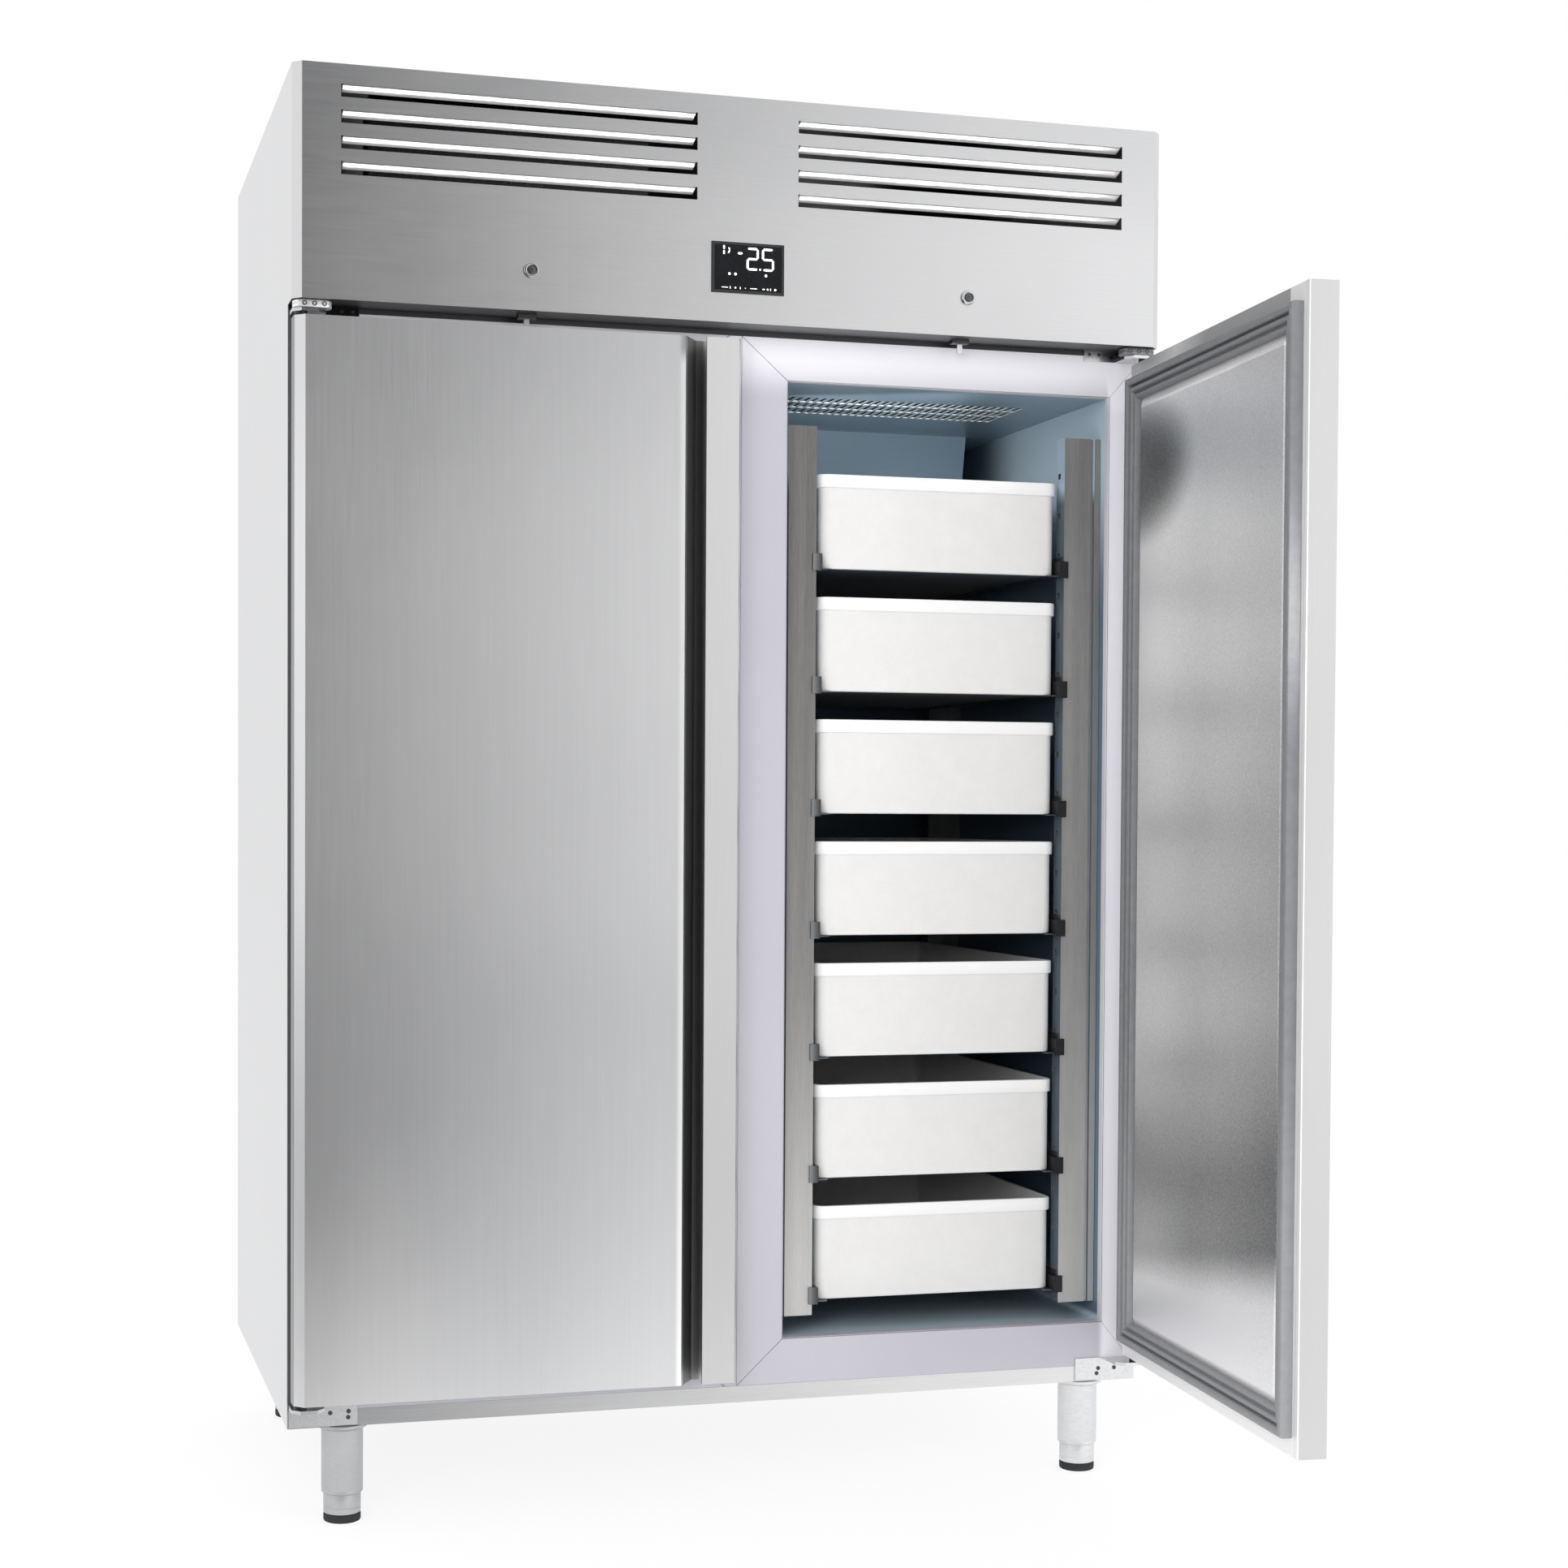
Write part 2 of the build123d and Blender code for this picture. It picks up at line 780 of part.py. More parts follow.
def runner_clip(side, level):
    """The black plastic clip that hooks a runner's front end round the upright's edge."""
    thickness, hook_reach, arm_reach, arm_length, tall, toe = 3.5, 6.0, 8.5, 26.0, 22.0, 4.0
    flange = bay_outer_x - upright_width if side > 0 else bay_inner_x + upright_width
    low = box_bottoms[level]
    inner, hook = flange - side * arm_reach, flange + side * hook_reach
    web, face = flange - side * (runner_sheet + running_gap), upright_front - running_gap
    front = face - thickness
    with BuildPart() as clip:
        with BuildSketch(Plane.XY.offset(low)):
            with BuildLine():
                Polyline(
                    (inner, front), (hook, front), (hook, face), (web, face), (web, face + arm_length),
                    (inner, face + arm_length), close=True,
                )
            make_face()
        extrude(amount=tall)
        with BuildSketch(Plane.XY.offset(low - toe)):
            with Locations(((inner + hook) / 2, (front + face) / 2)):
                Rectangle(abs(hook - inner), face - front)
        extrude(amount=toe)
    return clip.part


def dough_box(level):
    """One moulded box: thin walls, rounded corners and a thick rim that stands proud of them."""
    low = box_bottoms[level]
    middle = (bay_middle, box_front + box_length / 2)
    body_width, body_length = box_width - 2 * box_rim_overhang, box_length - 2 * box_rim_overhang
    rim_corner, body_corner, inner_corner = 18.0, 16.0, 13.0
    with BuildPart() as box:
        with BuildSketch(Plane.XY.offset(low)):
            with Locations(middle):
                RectangleRounded(body_width, body_length, body_corner)
        extrude(amount=box_height)
        with BuildSketch(Plane.XY.offset(low + box_height - box_rim)):
            with Locations(middle):
                RectangleRounded(box_width, box_length, rim_corner)
        extrude(amount=box_rim)
        with BuildSketch(Plane.XY.offset(low + box_wall)):
            with Locations(middle):
                RectangleRounded(body_width - 2 * box_wall, body_length - 2 * box_wall, inner_corner)
        extrude(amount=box_height, mode=Mode.SUBTRACT)
    return box.part


# Legs


def leg_sleeve():
    """The right front leg's fixed tube under its round flange, bored for the foot's stem."""
    flange = 5.0
    with BuildPart() as sleeve:
        with BuildSketch(Plane.XY.offset(leg_tube_bottom)):
            with Locations((leg_x, leg_front_y)):
                Circle(leg_radius)
        extrude(amount=body_bottom - leg_tube_bottom)
        with BuildSketch(Plane.XY.offset(body_bottom - flange)):
            with Locations((leg_x, leg_front_y)):
                Circle(leg_flange_radius)
        extrude(amount=flange)
        with BuildSketch(Plane.XY.offset(leg_tube_bottom)):
            with Locations((leg_x, leg_front_y)):
                Circle(foot_stem_radius + running_gap)
        extrude(amount=body_bottom - leg_tube_bottom, mode=Mode.SUBTRACT)
    return sleeve.part


def foot(x, y):
    """One screw foot: a tube end on a threaded stem, with a rubber pad under it."""
    tube_top = leg_tube_bottom - foot_gap
    with BuildPart() as pad:
        with BuildSketch(Plane.XY):
            with Locations((x, y)):
                Circle(foot_radius)
        extrude(amount=foot_rubber)
    with BuildPart() as tube:
        with BuildSketch(Plane.XY.offset(foot_rubber)):
            with Locations((x, y)):
                Circle(foot_radius)
        extrude(amount=tube_top - foot_rubber)
        with BuildSketch(Plane.XY.offset(tube_top)):
            with Locations((x, y)):
                Circle(foot_stem_radius)
        extrude(amount=body_bottom - tube_top)
    return together([pad.part, tube.part])


def leg_sleeves():
    """The four fixed leg tubes."""
    front = leg_sleeve()
    rear = front.moved(Location((0, leg_rear_y - leg_front_y, 0)))
    return both_sides(front, rear)


# Cooling unit, in the plenum over the bays and in the compartment behind the fascia


def fan_rotor(plane, radius, hub_radius, length):
    """A fan rotor on the plane's axis: a bored hub with five pitched blades."""
    blade_count, blade_pitch, blade_sheet, bite = 5, 28.0, 2.0, 4.0
    with BuildPart() as rotor:
        with BuildSketch(plane):
            Circle(hub_radius)
        extrude(amount=length)
        for turn in range(blade_count):
            spoke = Plane(plane.location * Location((0, 0, length / 2), (0, 0, 360 / blade_count * turn)))
            root = Plane(
                origin=spoke.origin + spoke.x_dir * (hub_radius - bite),
                x_dir=spoke.y_dir.rotate(Axis(spoke.origin, spoke.x_dir), blade_pitch),
                z_dir=spoke.x_dir,
            )
            with BuildSketch(root):
                Rectangle(length, blade_sheet)
            extrude(amount=radius - hub_radius + bite)
        with BuildSketch(plane):
            Circle(shaft_radius + pin_clearance)
        extrude(amount=length, mode=Mode.SUBTRACT)
    return rotor.part


def evaporator_fan(side):
    """One bay's fan, level over its grille and hung on its motor's shaft."""
    plane = Plane((side * bay_middle, evaporator_fan_y, evaporator_fan_top - evaporator_fan_length))
    return fan_rotor(plane, evaporator_fan_radius, 28.0, evaporator_fan_length)


def condenser_fan():
    """The fan that draws air through the louvres and the condenser, in the cowl's ring."""
    plane = Plane((condenser_x, condenser_fan_y, condenser_z), z_dir=(0, -1, 0))
    return fan_rotor(plane, condenser_fan_radius, 30.0, condenser_fan_length)


def evaporator_fan_motor():
    """The right bay's fan motor, fixed under the foam ceiling with its shaft down in the rotor."""
    can_radius, can_bottom = 34.0, evaporator_fan_top + 2.0
    with BuildPart() as motor:
        with BuildSketch(Plane.XY.offset(can_bottom)):
            with Locations((bay_middle, evaporator_fan_y)):
                Circle(can_radius)
        extrude(amount=deck_bottom - can_bottom)
        with BuildSketch(Plane.XY.offset(can_bottom)):
            with Locations((bay_middle, evaporator_fan_y)):
                Circle(shaft_radius)
        extrude(amount=-evaporator_fan_length)
    return motor.part


def evaporator_coil():
    """The finned coil on the mullion's head, with its copper tube ends out at one side."""
    low, high, near, far, reach = bay_ceiling + skin, 1762.0, 410.0, 560.0, 260.0
    tube_radius, tube_reach, tube_pitch = 5.0, 18.0, 100.0
    with BuildPart() as coil:
        with BuildSketch(Plane.XY.offset(low)):
            with Locations((0, (near + far) / 2)):
                Rectangle(2 * reach, far - near)
        extrude(amount=high - low)
        with BuildSketch(Plane.YZ.offset(reach)):
            with Locations(((near + far) / 2, (low + high) / 2)):
                with GridLocations(tube_pitch, 1, 2, 1):
                    Circle(tube_radius)
        extrude(amount=tube_reach)
    return coil.part


def condenser():
    """The condenser coil on the deck, its cowl plate and the fan motor on its stand."""
    middle, ring, cowl_sheet = (condenser_x, condenser_z), condenser_fan_radius + 6.0, 2.0
    motor_front, motor_radius, motor_length, shaft_length = 206.0, 38.0, 70.0, 44.0
    stand_width, stand_depth = 50.0, 40.0
    with BuildPart() as coil:
        with BuildSketch(facing(condenser_front)):
            with Locations(middle):
                Rectangle(condenser_width, condenser_height)
        extrude(amount=condenser_front - condenser_back)
    with BuildPart() as cowl:
        with BuildSketch(facing(condenser_back)):
            with Locations(middle):
                Rectangle(condenser_width, condenser_height)
                Circle(ring, mode=Mode.SUBTRACT)
        extrude(amount=-cowl_sheet)
    with BuildPart() as motor:
        with BuildSketch(facing(motor_front)):
            with Locations(middle):
                Circle(motor_radius)
        extrude(amount=-motor_length)
        with BuildSketch(facing(motor_front)):
            with Locations(middle):
                Circle(shaft_radius)
        extrude(amount=shaft_length)
        with BuildSketch(Plane.XY.offset(deck_top)):
            with Locations((condenser_x, motor_front + motor_length / 2)):
                Rectangle(stand_width, stand_depth)
        extrude(amount=condenser_height / 2)
    return together([coil.part, cowl.part, motor.part])


def compressor():
    """The sealed compressor, a drawn steel can with a domed lid on a base plate."""
    centre, plate_x, plate_y, plate_sheet = (350.0, 430.0), 240.0, 170.0, 4.0
    can_radius, can_height, dome = 95.0, 192.0, 30.0
    with BuildPart() as can:
        with BuildSketch(Plane.XY.offset(deck_top)):
            with Locations(centre):
                Rectangle(plate_x, plate_y)
        extrude(amount=plate_sheet)
        with BuildSketch(Plane.XY.offset(deck_top)):
            with Locations(centre):
                Circle(can_radius)
        extrude(amount=can_height)
        chamfer(can.faces().sort_by(Axis.Z)[-1].edges(), dome * 0.6, dome)
    return can.part


def electrical_box():
    """The unit's terminal box on the deck, with a lid that overhangs it."""
    centre, box_x, box_y, tall, lid, lid_lap = (60.0, 260.0), 200.0, 120.0, 86.0, 10.0, 3.0
    with BuildPart() as box:
        with BuildSketch(Plane.XY.offset(deck_top)):
            with Locations(centre):
                Rectangle(box_x, box_y)
        extrude(amount=tall)
        with BuildSketch(Plane.XY.offset(deck_top + tall)):
            with Locations(centre):
                Rectangle(box_x + 2 * lid_lap, box_y + 2 * lid_lap)
        extrude(amount=lid)
    return box.part


def cable_gland():
    """The mains inlet: a gland through the back sheet, with two hexagons outside and a nut inside."""
    place, hexagon, nut, stem_length = (gland_x, gland_z), 6.0, 4.0, 12.0
    body_radius, nut_radius, cap_radius = 14.0, 12.0, 11.0
    with BuildPart() as gland:
        with BuildSketch(facing(depth)):
            with Locations(place):
                RegularPolygon(body_radius, 6)
        extrude(amount=-hexagon)
        with BuildSketch(facing(depth + hexagon)):
            with Locations(place):
                RegularPolygon(cap_radius, 6)
        extrude(amount=hexagon - gland_reach)
        with BuildSketch(facing(depth)):
            with Locations(place):
                Circle(gland_stem)
        extrude(amount=stem_length)
        with BuildSketch(facing(depth - skin)):
            with Locations(place):
                RegularPolygon(nut_radius, 6)
        extrude(amount=nut)
        with BuildSketch(facing(depth + gland_reach)):
            with Locations(place):
                Circle(gland_bore)
        extrude(amount=gland_reach + stem_length, mode=Mode.SUBTRACT)
    return gland.part


def hand_in(parts):
    """Move every piece to the shared origin, label it and write its file."""
    os.makedirs("parts", exist_ok=True)
    boxes = [part.bounding_box() for part in parts.values()]
    middle_x = (min(box.min.X for box in boxes) + max(box.max.X for box in boxes)) / 2
    middle_y = (min(box.min.Y for box in boxes) + max(box.max.Y for box in boxes)) / 2
    for name, part in parts.items():
        placed = part.moved(Location((-middle_x, -middle_y, 0)))
        placed.label = name
        export_step(placed, f"parts/{name}.step")
    print(f"origin at x {middle_x:.3f}, y {middle_y:.3f}")


runners = [runner(side, level) for side in (-1, 1) for level in range(box_count)]
clips = [runner_clip(side, level) for side in (-1, 1) for level in range(box_count)]
parts = {
    "side_panels": both_sides(side_panel()),
    "back_panel": back_panel(),
    "top_cover": top_cover(),
    "base_pan": base_pan(),
    **insulation_slabs(),
    "bay_liners": both_sides(bay_liner()),
    "door_frames": together([both_sides(*door_frame()), mullion_trim()]),
    "ceiling_grilles": both_sides(ceiling_grille()),
    "air_deflectors": both_sides(air_deflector()),
    "fascia": fascia(),
    "fascia_rail": fascia_rail(),
    "controller": controller(),
    "display_glass": display_glass(),
    "hinge_brackets": both_sides(*hinge_brackets()),
    "bay_uprights": both_sides(*bay_uprights()),
    "box_runners": both_sides(*runners),
    "runner_clips": both_sides(*clips),
    "leg_sleeves": leg_sleeves(),
    "evaporator_fan_motors": both_sides(evaporator_fan_motor()),
    "evaporator_coil": evaporator_coil(),
    "condenser": condenser(),
    "compressor": compressor(),
    "electrical_box": electrical_box(),
    "cable_gland": cable_gland(),
    "left_door_shell": door_shell(-1),
    "left_door_core": door_block(-1, skin),
    "left_door_grip": mirrored(door_grip()),
    "left_door_panel": mirrored(door_inner_panel()),
    "left_door_gasket": mirrored(door_gasket()),
    "left_door_bushes": mirrored(door_bushes()),
    "right_door_shell": opened(door_shell(1)),
    "right_door_core": opened(door_block(1, skin)),
    "right_door_grip": opened(door_grip()),
    "right_door_panel": opened(door_inner_panel()),
    "right_door_gasket": opened(door_gasket()),
    "right_door_bushes": opened(door_bushes()),
    "left_lock": lock_barrel(-1),
    "right_lock": lock_barrel(1),
    "left_bolt": lock_bolt(-1),
    "right_bolt": lock_bolt(1),
    "left_evaporator_fan": evaporator_fan(-1),
    "right_evaporator_fan": evaporator_fan(1),
    "condenser_fan": condenser_fan(),
    "front_left_foot": foot(-leg_x, leg_front_y),
    "front_right_foot": foot(leg_x, leg_front_y),
    "rear_left_foot": foot(-leg_x, leg_rear_y),
    "rear_right_foot": foot(leg_x, leg_rear_y),
}
for level in range(box_count):
    parts[f"dough_box_{level + 1}"] = dough_box(level)
hand_in(parts)
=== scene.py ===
import math

import bmesh
import bpy
from mathutils import Matrix, Vector


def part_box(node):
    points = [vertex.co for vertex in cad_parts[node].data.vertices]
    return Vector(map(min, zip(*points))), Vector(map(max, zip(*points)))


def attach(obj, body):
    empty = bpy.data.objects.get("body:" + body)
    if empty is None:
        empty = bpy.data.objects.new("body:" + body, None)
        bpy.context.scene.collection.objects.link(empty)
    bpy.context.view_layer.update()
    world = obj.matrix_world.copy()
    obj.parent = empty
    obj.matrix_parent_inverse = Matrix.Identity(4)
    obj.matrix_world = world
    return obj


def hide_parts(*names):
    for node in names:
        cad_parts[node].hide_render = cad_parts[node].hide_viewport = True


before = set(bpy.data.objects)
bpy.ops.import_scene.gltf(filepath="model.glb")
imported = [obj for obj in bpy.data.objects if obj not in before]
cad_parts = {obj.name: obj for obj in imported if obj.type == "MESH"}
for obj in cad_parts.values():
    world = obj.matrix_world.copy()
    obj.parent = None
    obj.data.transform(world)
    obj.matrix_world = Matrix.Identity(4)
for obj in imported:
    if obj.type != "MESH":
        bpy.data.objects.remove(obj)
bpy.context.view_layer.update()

# The cabinet is measured in millimetres from the middle of its front at the floor: x to the right,
# y into the cabinet, z up. The folded front sheet gives that place in the shared frame. The finishes
# and the studio are written in the shared frame's own metres.
front_low, front_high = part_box("fascia")
front_middle = Vector(((front_low.x + front_high.x) / 2, front_low.y, 0))


def spot(x, y, z):
    """A place on the cabinet, in millimetres from the middle of its front at the floor."""
    return front_middle + Vector((x, y, z)) / 1000


# The photographer's camera: it stands to the left of the cabinet's middle at chest height, looks a
# little down and to the right, and its lens is shifted so that the upright edges stay near parallel.
# The lens is measured in the photograph's pixels, as fitted to the corners that it shows.
picture_size = 1932
lens_length, lens_middle_x, lens_middle_y = 3089.089, 849.353, 1076.323
film_width = 36
camera_data = bpy.data.cameras.new("photograph_camera")
camera_data.sensor_width = film_width
camera_data.lens = lens_length / picture_size * film_width
camera_data.shift_x = (picture_size / 2 - lens_middle_x) / picture_size
camera_data.shift_y = (lens_middle_y - picture_size / 2) / picture_size
camera_data.clip_start, camera_data.clip_end = 0.05, 60
camera = bpy.data.objects.new("photograph_camera", camera_data)
bpy.context.scene.collection.objects.link(camera)
camera_place = spot(-1073.961, -3578.017, 1045.548)
turn, tilt, lean = (math.radians(angle) for angle in (15.444, -1.437, 0.274))
ahead = Vector((math.sin(turn) * math.cos(tilt), math.cos(turn) * math.cos(tilt), math.sin(tilt)))
level = Vector((math.cos(turn), -math.sin(turn), 0))
upward = level.cross(ahead)
right_hand = level * math.cos(lean) + upward * math.sin(lean)
head_up = upward * math.cos(lean) - level * math.sin(lean)
camera.matrix_world = Matrix.Translation(camera_place) @ Matrix(
    (right_hand, head_up, -ahead)).transposed().to_4x4()
bpy.context.scene.camera = camera
bpy.context.scene.view_settings.view_transform = "Standard"


# The studio: a white floor and surround, a large soft lamp on the left, one low on the right and one
# near the floor, two narrow ones for the louvres and the bay, and a bent sheet of grey paper that only
# shows as a reflection, which is how polished steel is given its slow fall from dark to light.
def tone(code):
    """A colour as the eye names it, such as D8D8D6, in the linear light that a shader works in."""
    parts = [int(code[i:i + 2], 16) / 255 for i in (0, 2, 4)]
    return (*[p / 12.92 if p <= 0.04045 else ((p + 0.055) / 1.055) ** 2.4 for p in parts], 1)


class Wire:
    """A value on its way through a finish's nodes, which adds and scales as a number does."""

    def __init__(self, finish, socket):
        self.finish, self.socket = finish, socket

    def out(self, name):
        return Wire(self.finish, self.socket.node.outputs[name])

    def sum(self, operation, *values):
        return self.finish.node("ShaderNodeMath", {"operation": operation}, dict(enumerate(values)))

    def __add__(self, other):
        return self.sum("ADD", self, other)

    def __radd__(self, other):
        return self.sum("ADD", other, self)

    def __sub__(self, other):
        return self.sum("SUBTRACT", self, other)

    def __rsub__(self, other):
        return self.sum("SUBTRACT", other, self)

    def __mul__(self, other):
        return self.sum("MULTIPLY", self, other)

    def __rmul__(self, other):
        return self.sum("MULTIPLY", other, self)

    def __truediv__(self, other):
        return self.sum("DIVIDE", self, other)

    def __rtruediv__(self, other):
        return self.sum("DIVIDE", other, self)

    def held(self, low=0.0, high=1.0):
        """The value, kept between two limits."""
        return self.sum("MINIMUM", self.sum("MAXIMUM", self, low), high)

    def ramp(self, start, end):
        """0 up to start and 1 from end, with a soft run between them."""
        return self.finish.node("ShaderNodeMapRange", {"interpolation_type": "SMOOTHSTEP"},
                                {"Value": self, "From Min": start, "From Max": end})

    def sine(self):
        return self.sum("SINE", self)

    def size(self):
        """The value without its sign."""
        return self.sum("ABSOLUTE", self)


class Finish:
    """One surface finish, wired node by node. Its places are in metres in the shared frame."""

    def __init__(self, name, owner=None):
        self.material = owner or bpy.data.materials.new(name)
        self.material.use_nodes = True
        self.tree = self.material.node_tree
        self.tree.nodes.clear()

    def node(self, kind, settings=None, values=None, out=0):
        """One node: its kind, its settings, and a value or a wire for each socket that it needs."""
        node = self.tree.nodes.new(kind)
        for key, setting in (settings or {}).items():
            setattr(node, key, setting)
        for key, value in (values or {}).items():
            if isinstance(value, Wire):
                self.tree.links.new(value.socket, node.inputs[key])
            else:
                node.inputs[key].default_value = value
        return Wire(self, node.outputs[out]) if node.outputs else None

    def place(self):
        """Where a point of the surface is, as the three values x, y and z."""
        where = self.node("ShaderNodeTexCoord", out="Object")
        x = self.node("ShaderNodeSeparateXYZ", values={"Vector": where})
        return x, x.out("Y"), x.out("Z")

    def stretched(self, scale):
        """The surface's own places, scaled by three numbers, for a texture to read."""
        where = self.node("ShaderNodeTexCoord", out="Object")
        return self.node("ShaderNodeVectorMath", {"operation": "MULTIPLY"}, {0: where, 1: scale})

    def cloud(self, scale, detail=2.0, rough=0.5):
        """Soft noise from 0 to 1, its scale either one number or three for a stretched grain."""
        scale = scale if isinstance(scale, tuple) else (scale, scale, scale)
        return self.node("ShaderNodeTexNoise", values={
            "Vector": self.stretched(scale), "Scale": 1.0, "Detail": detail, "Roughness": rough})

    def cells(self, scale, out=0):
        """Irregular cells, as in foam or zinc flakes."""
        return self.node("ShaderNodeTexVoronoi", values={
            "Vector": self.stretched((scale, scale, scale)), "Scale": 1.0}, out=out)

    def blend(self, low, high, by):
        """One colour passing into another as a value goes from 0 to 1; a colour is a code or a wire."""
        low, high = [part if isinstance(part, Wire) else tone(part) for part in (low, high)]
        return self.node("ShaderNodeMix", {"data_type": "RGBA"}, {0: by, 6: low, 7: high}, 2)

    def coat(self, values, height=None, depth=0.0003, strength=1.0):
        """Closes the finish: the shader's own sockets, and the height that its relief comes from."""
        if height is not None:
            values["Normal"] = self.node("ShaderNodeBump", values={
                "Strength": strength, "Distance": depth, "Height": height})
        shader = self.node("ShaderNodeBsdfPrincipled", values=values)
        self.node("ShaderNodeOutputMaterial", values={"Surface": shader})
        return self.material


def laid(name, corners, faces):
    """A mesh object from plain corner points, at the shared frame's origin."""
    mesh = bpy.data.meshes.new(name)
    mesh.from_pydata([tuple(corner) for corner in corners], [], faces)
    mesh.validate()
    thing = bpy.data.objects.new(name, mesh)
    bpy.context.scene.collection.objects.link(thing)
    return thing


def looked_at(finish):
    """1 for what the camera sees, straight or by way of gloss or glass, and 0 for the light itself."""
    path = finish.node("ShaderNodeLightPath")
    return (path + path.out("Is Glossy Ray") + path.out("Is Transmission Ray")).held()


def rectangle(left, right, low, high):
    """The corners of a rectangle, from the lower left and round by the lower right."""
    return [(left, low), (right, low), (right, high), (left, high)]


reach = 30
floor_corners = [(x, y, 0) for x, y in rectangle(-reach, reach, -reach, reach)]
floor = laid("studio_floor", floor_corners, [(0, 1, 2, 3)])
floor_white = Finish("studio_floor_white")
matt = floor_white.node("ShaderNodeBsdfDiffuse", values={"Color": tone("F4F4F4")})
lit = floor_white.node("ShaderNodeEmission", values={"Color": tone("FFFFFF"), "Strength": 1.06})
lit_share = looked_at(floor_white) * 0.78
floor_white.node("ShaderNodeOutputMaterial", values={"Surface": floor_white.node(
    "ShaderNodeMixShader", values={0: lit_share, 1: matt, 2: lit})})
floor.data.materials.append(floor_white.material)

sheet_left, sheet_right = -4.5, 6.5
sheet_line = [(-0.3, 0.012), (-4.4, 0.012), (-4.9, 0.12), (-5.2, 0.5), (-5.3, 1.2), (-5.3, 4.8)]
grey_paper = laid(
    "studio_reflection_paper",
    [(x, y, z) for y, z in sheet_line for x in (sheet_left, sheet_right)],
    [(2 * i, 2 * i + 1, 2 * i + 3, 2 * i + 2) for i in range(len(sheet_line) - 1)])
for seen_by in ("camera", "diffuse", "transmission", "volume_scatter", "shadow"):
    setattr(grey_paper, f"visible_{seen_by}", False)
# The paper is painted for the place on the doors, door_x and door_z, where the lens finds its mirror image.
doors_y, lens_left, lens_away, lens_height = -0.1, 1.08, 3.69, 1.045
grey = Finish("studio_reflection_grey")
paper_x, paper_y, paper_z = grey.place()
far = (doors_y - paper_y) / lens_away
door_x = (paper_x - lens_left * far) / (1 + far)
door_z = (paper_z + lens_height * far) / (1 + far)
across = (door_x + 0.38) * 1.75
foot_lift = door_z.ramp(0.5, 0.05) * 0.62 * (1.2 - (door_x + 0.55) * 1.1).held(0.5, 1.4)
lift = foot_lift - door_z.ramp(1.5, 1.85) * 0.2 - door_z.ramp(1.9, 2.1) * 0.17
grey.node("ShaderNodeOutputMaterial", values={"Surface": grey.node("ShaderNodeEmission", values={
    "Strength": (0.52 + across + lift).held(0.06, 1.25)})})
grey_paper.data.materials.append(grey.material)


def soft_lamp(name, place, aim, size, power, spread=180):
    """A soft box that faces a place, with a honeycomb over it where its spread is narrow."""
    lamp = bpy.data.lights.new(name, "AREA")
    lamp.shape, lamp.size, lamp.size_y, lamp.energy = "RECTANGLE", size[0], size[1], power
    lamp.spread = math.radians(spread)
    thing = bpy.data.objects.new(name, lamp)
    bpy.context.scene.collection.objects.link(thing)
    thing.location = place
    thing.rotation_euler = (Vector(aim) - Vector(place)).to_track_quat("-Z", "Y").to_euler()
    thing.visible_glossy = thing.visible_camera = False


soft_lamp("lamp_left", (-2.4, -4.4, 2.3), (0.2, 0, 1.1), (2.2, 2.2), 78)
soft_lamp("lamp_low_right", (2.8, -4.2, 1.2), (0.3, 0, 0.9), (2.0, 2.0), 30)
soft_lamp("lamp_floor_fill", (0.1, -3.4, 0.25), (0.35, 0.1, 1.8), (1.6, 0.7), 16)
soft_lamp("lamp_under_louvres", (0.0, -1.7, 0.12), (0, -0.1, 2.06), (2.2, 0.06), 2.2, 9)
soft_lamp("lamp_in_bay", spot(250, 105, 1650), spot(480, 620, 1600), (0.3, 0.05), 0.3, 120)

around = Finish("studio_surround", bpy.data.worlds.new("studio_surround"))
bpy.context.scene.world = around.material
around.node("ShaderNodeOutputWorld", values={"Surface": around.node("ShaderNodeBackground", values={
    "Color": tone("FFFFFF"), "Strength": 0.92 + looked_at(around) * 0.08})})


# Outer sheets: two side panels, the roof and the base pan of 1 mm stainless steel, folded and
# spot-welded, ground with a fine belt; the roof's underside is painted black as shade. The back is a
# galvanised sheet.
def dress(material, *nodes):
    """Gives a finish to pieces that the model already has."""
    for name in nodes:
        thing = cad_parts[name]
        if not thing.material_slots:
            thing.data.materials.append(material)
        for held in thing.material_slots:
            held.material = material


def brushed_steel(name, light, dark, grain, rough, fall=0.0):
    """Belt-ground stainless steel: fine scratches one way, faint clouding, and a painted shade, as strong as
    fall, that darkens it to the left.
    """
    steel = Finish(name)
    x, _, _ = steel.place()
    fine = steel.cloud(grain, 3.0, 0.6)
    broad = steel.cloud(tuple(part * 0.23 for part in grain), 2.0)
    handled = steel.cloud(3, 3.0, 0.62)
    scratches = (fine * 0.6 + broad * 0.4 - 0.5) * 0.5 + 0.5
    shade = scratches + (handled - 0.5) * 0.16 + (x.ramp(-0.6, 0.6) - 0.5) * fall
    return steel.coat({
        "Base Color": steel.blend(dark, light, shade.held()),
        "Metallic": 1.0,
        "Roughness": (rough + (fine - 0.5) * 0.12 + (handled - 0.5) * 0.1).held(0.08, 0.9),
        "Anisotropic": 0.35,
    }, fine, 0.00012, 0.35)


grain_upright, grain_level = (900, 900, 14), (14, 900, 900)
outer_steel = brushed_steel("outer_steel", "EDEDEE", "D3D4D6", grain_upright, 0.36)
# The base pan's fall paints shade that darkens it towards the left.
base_steel = brushed_steel("base_steel", "E6E6E6", "A6A7A9", grain_level, 0.38, 0.62)
dress(outer_steel, "side_panels")
dress(base_steel, "base_pan")

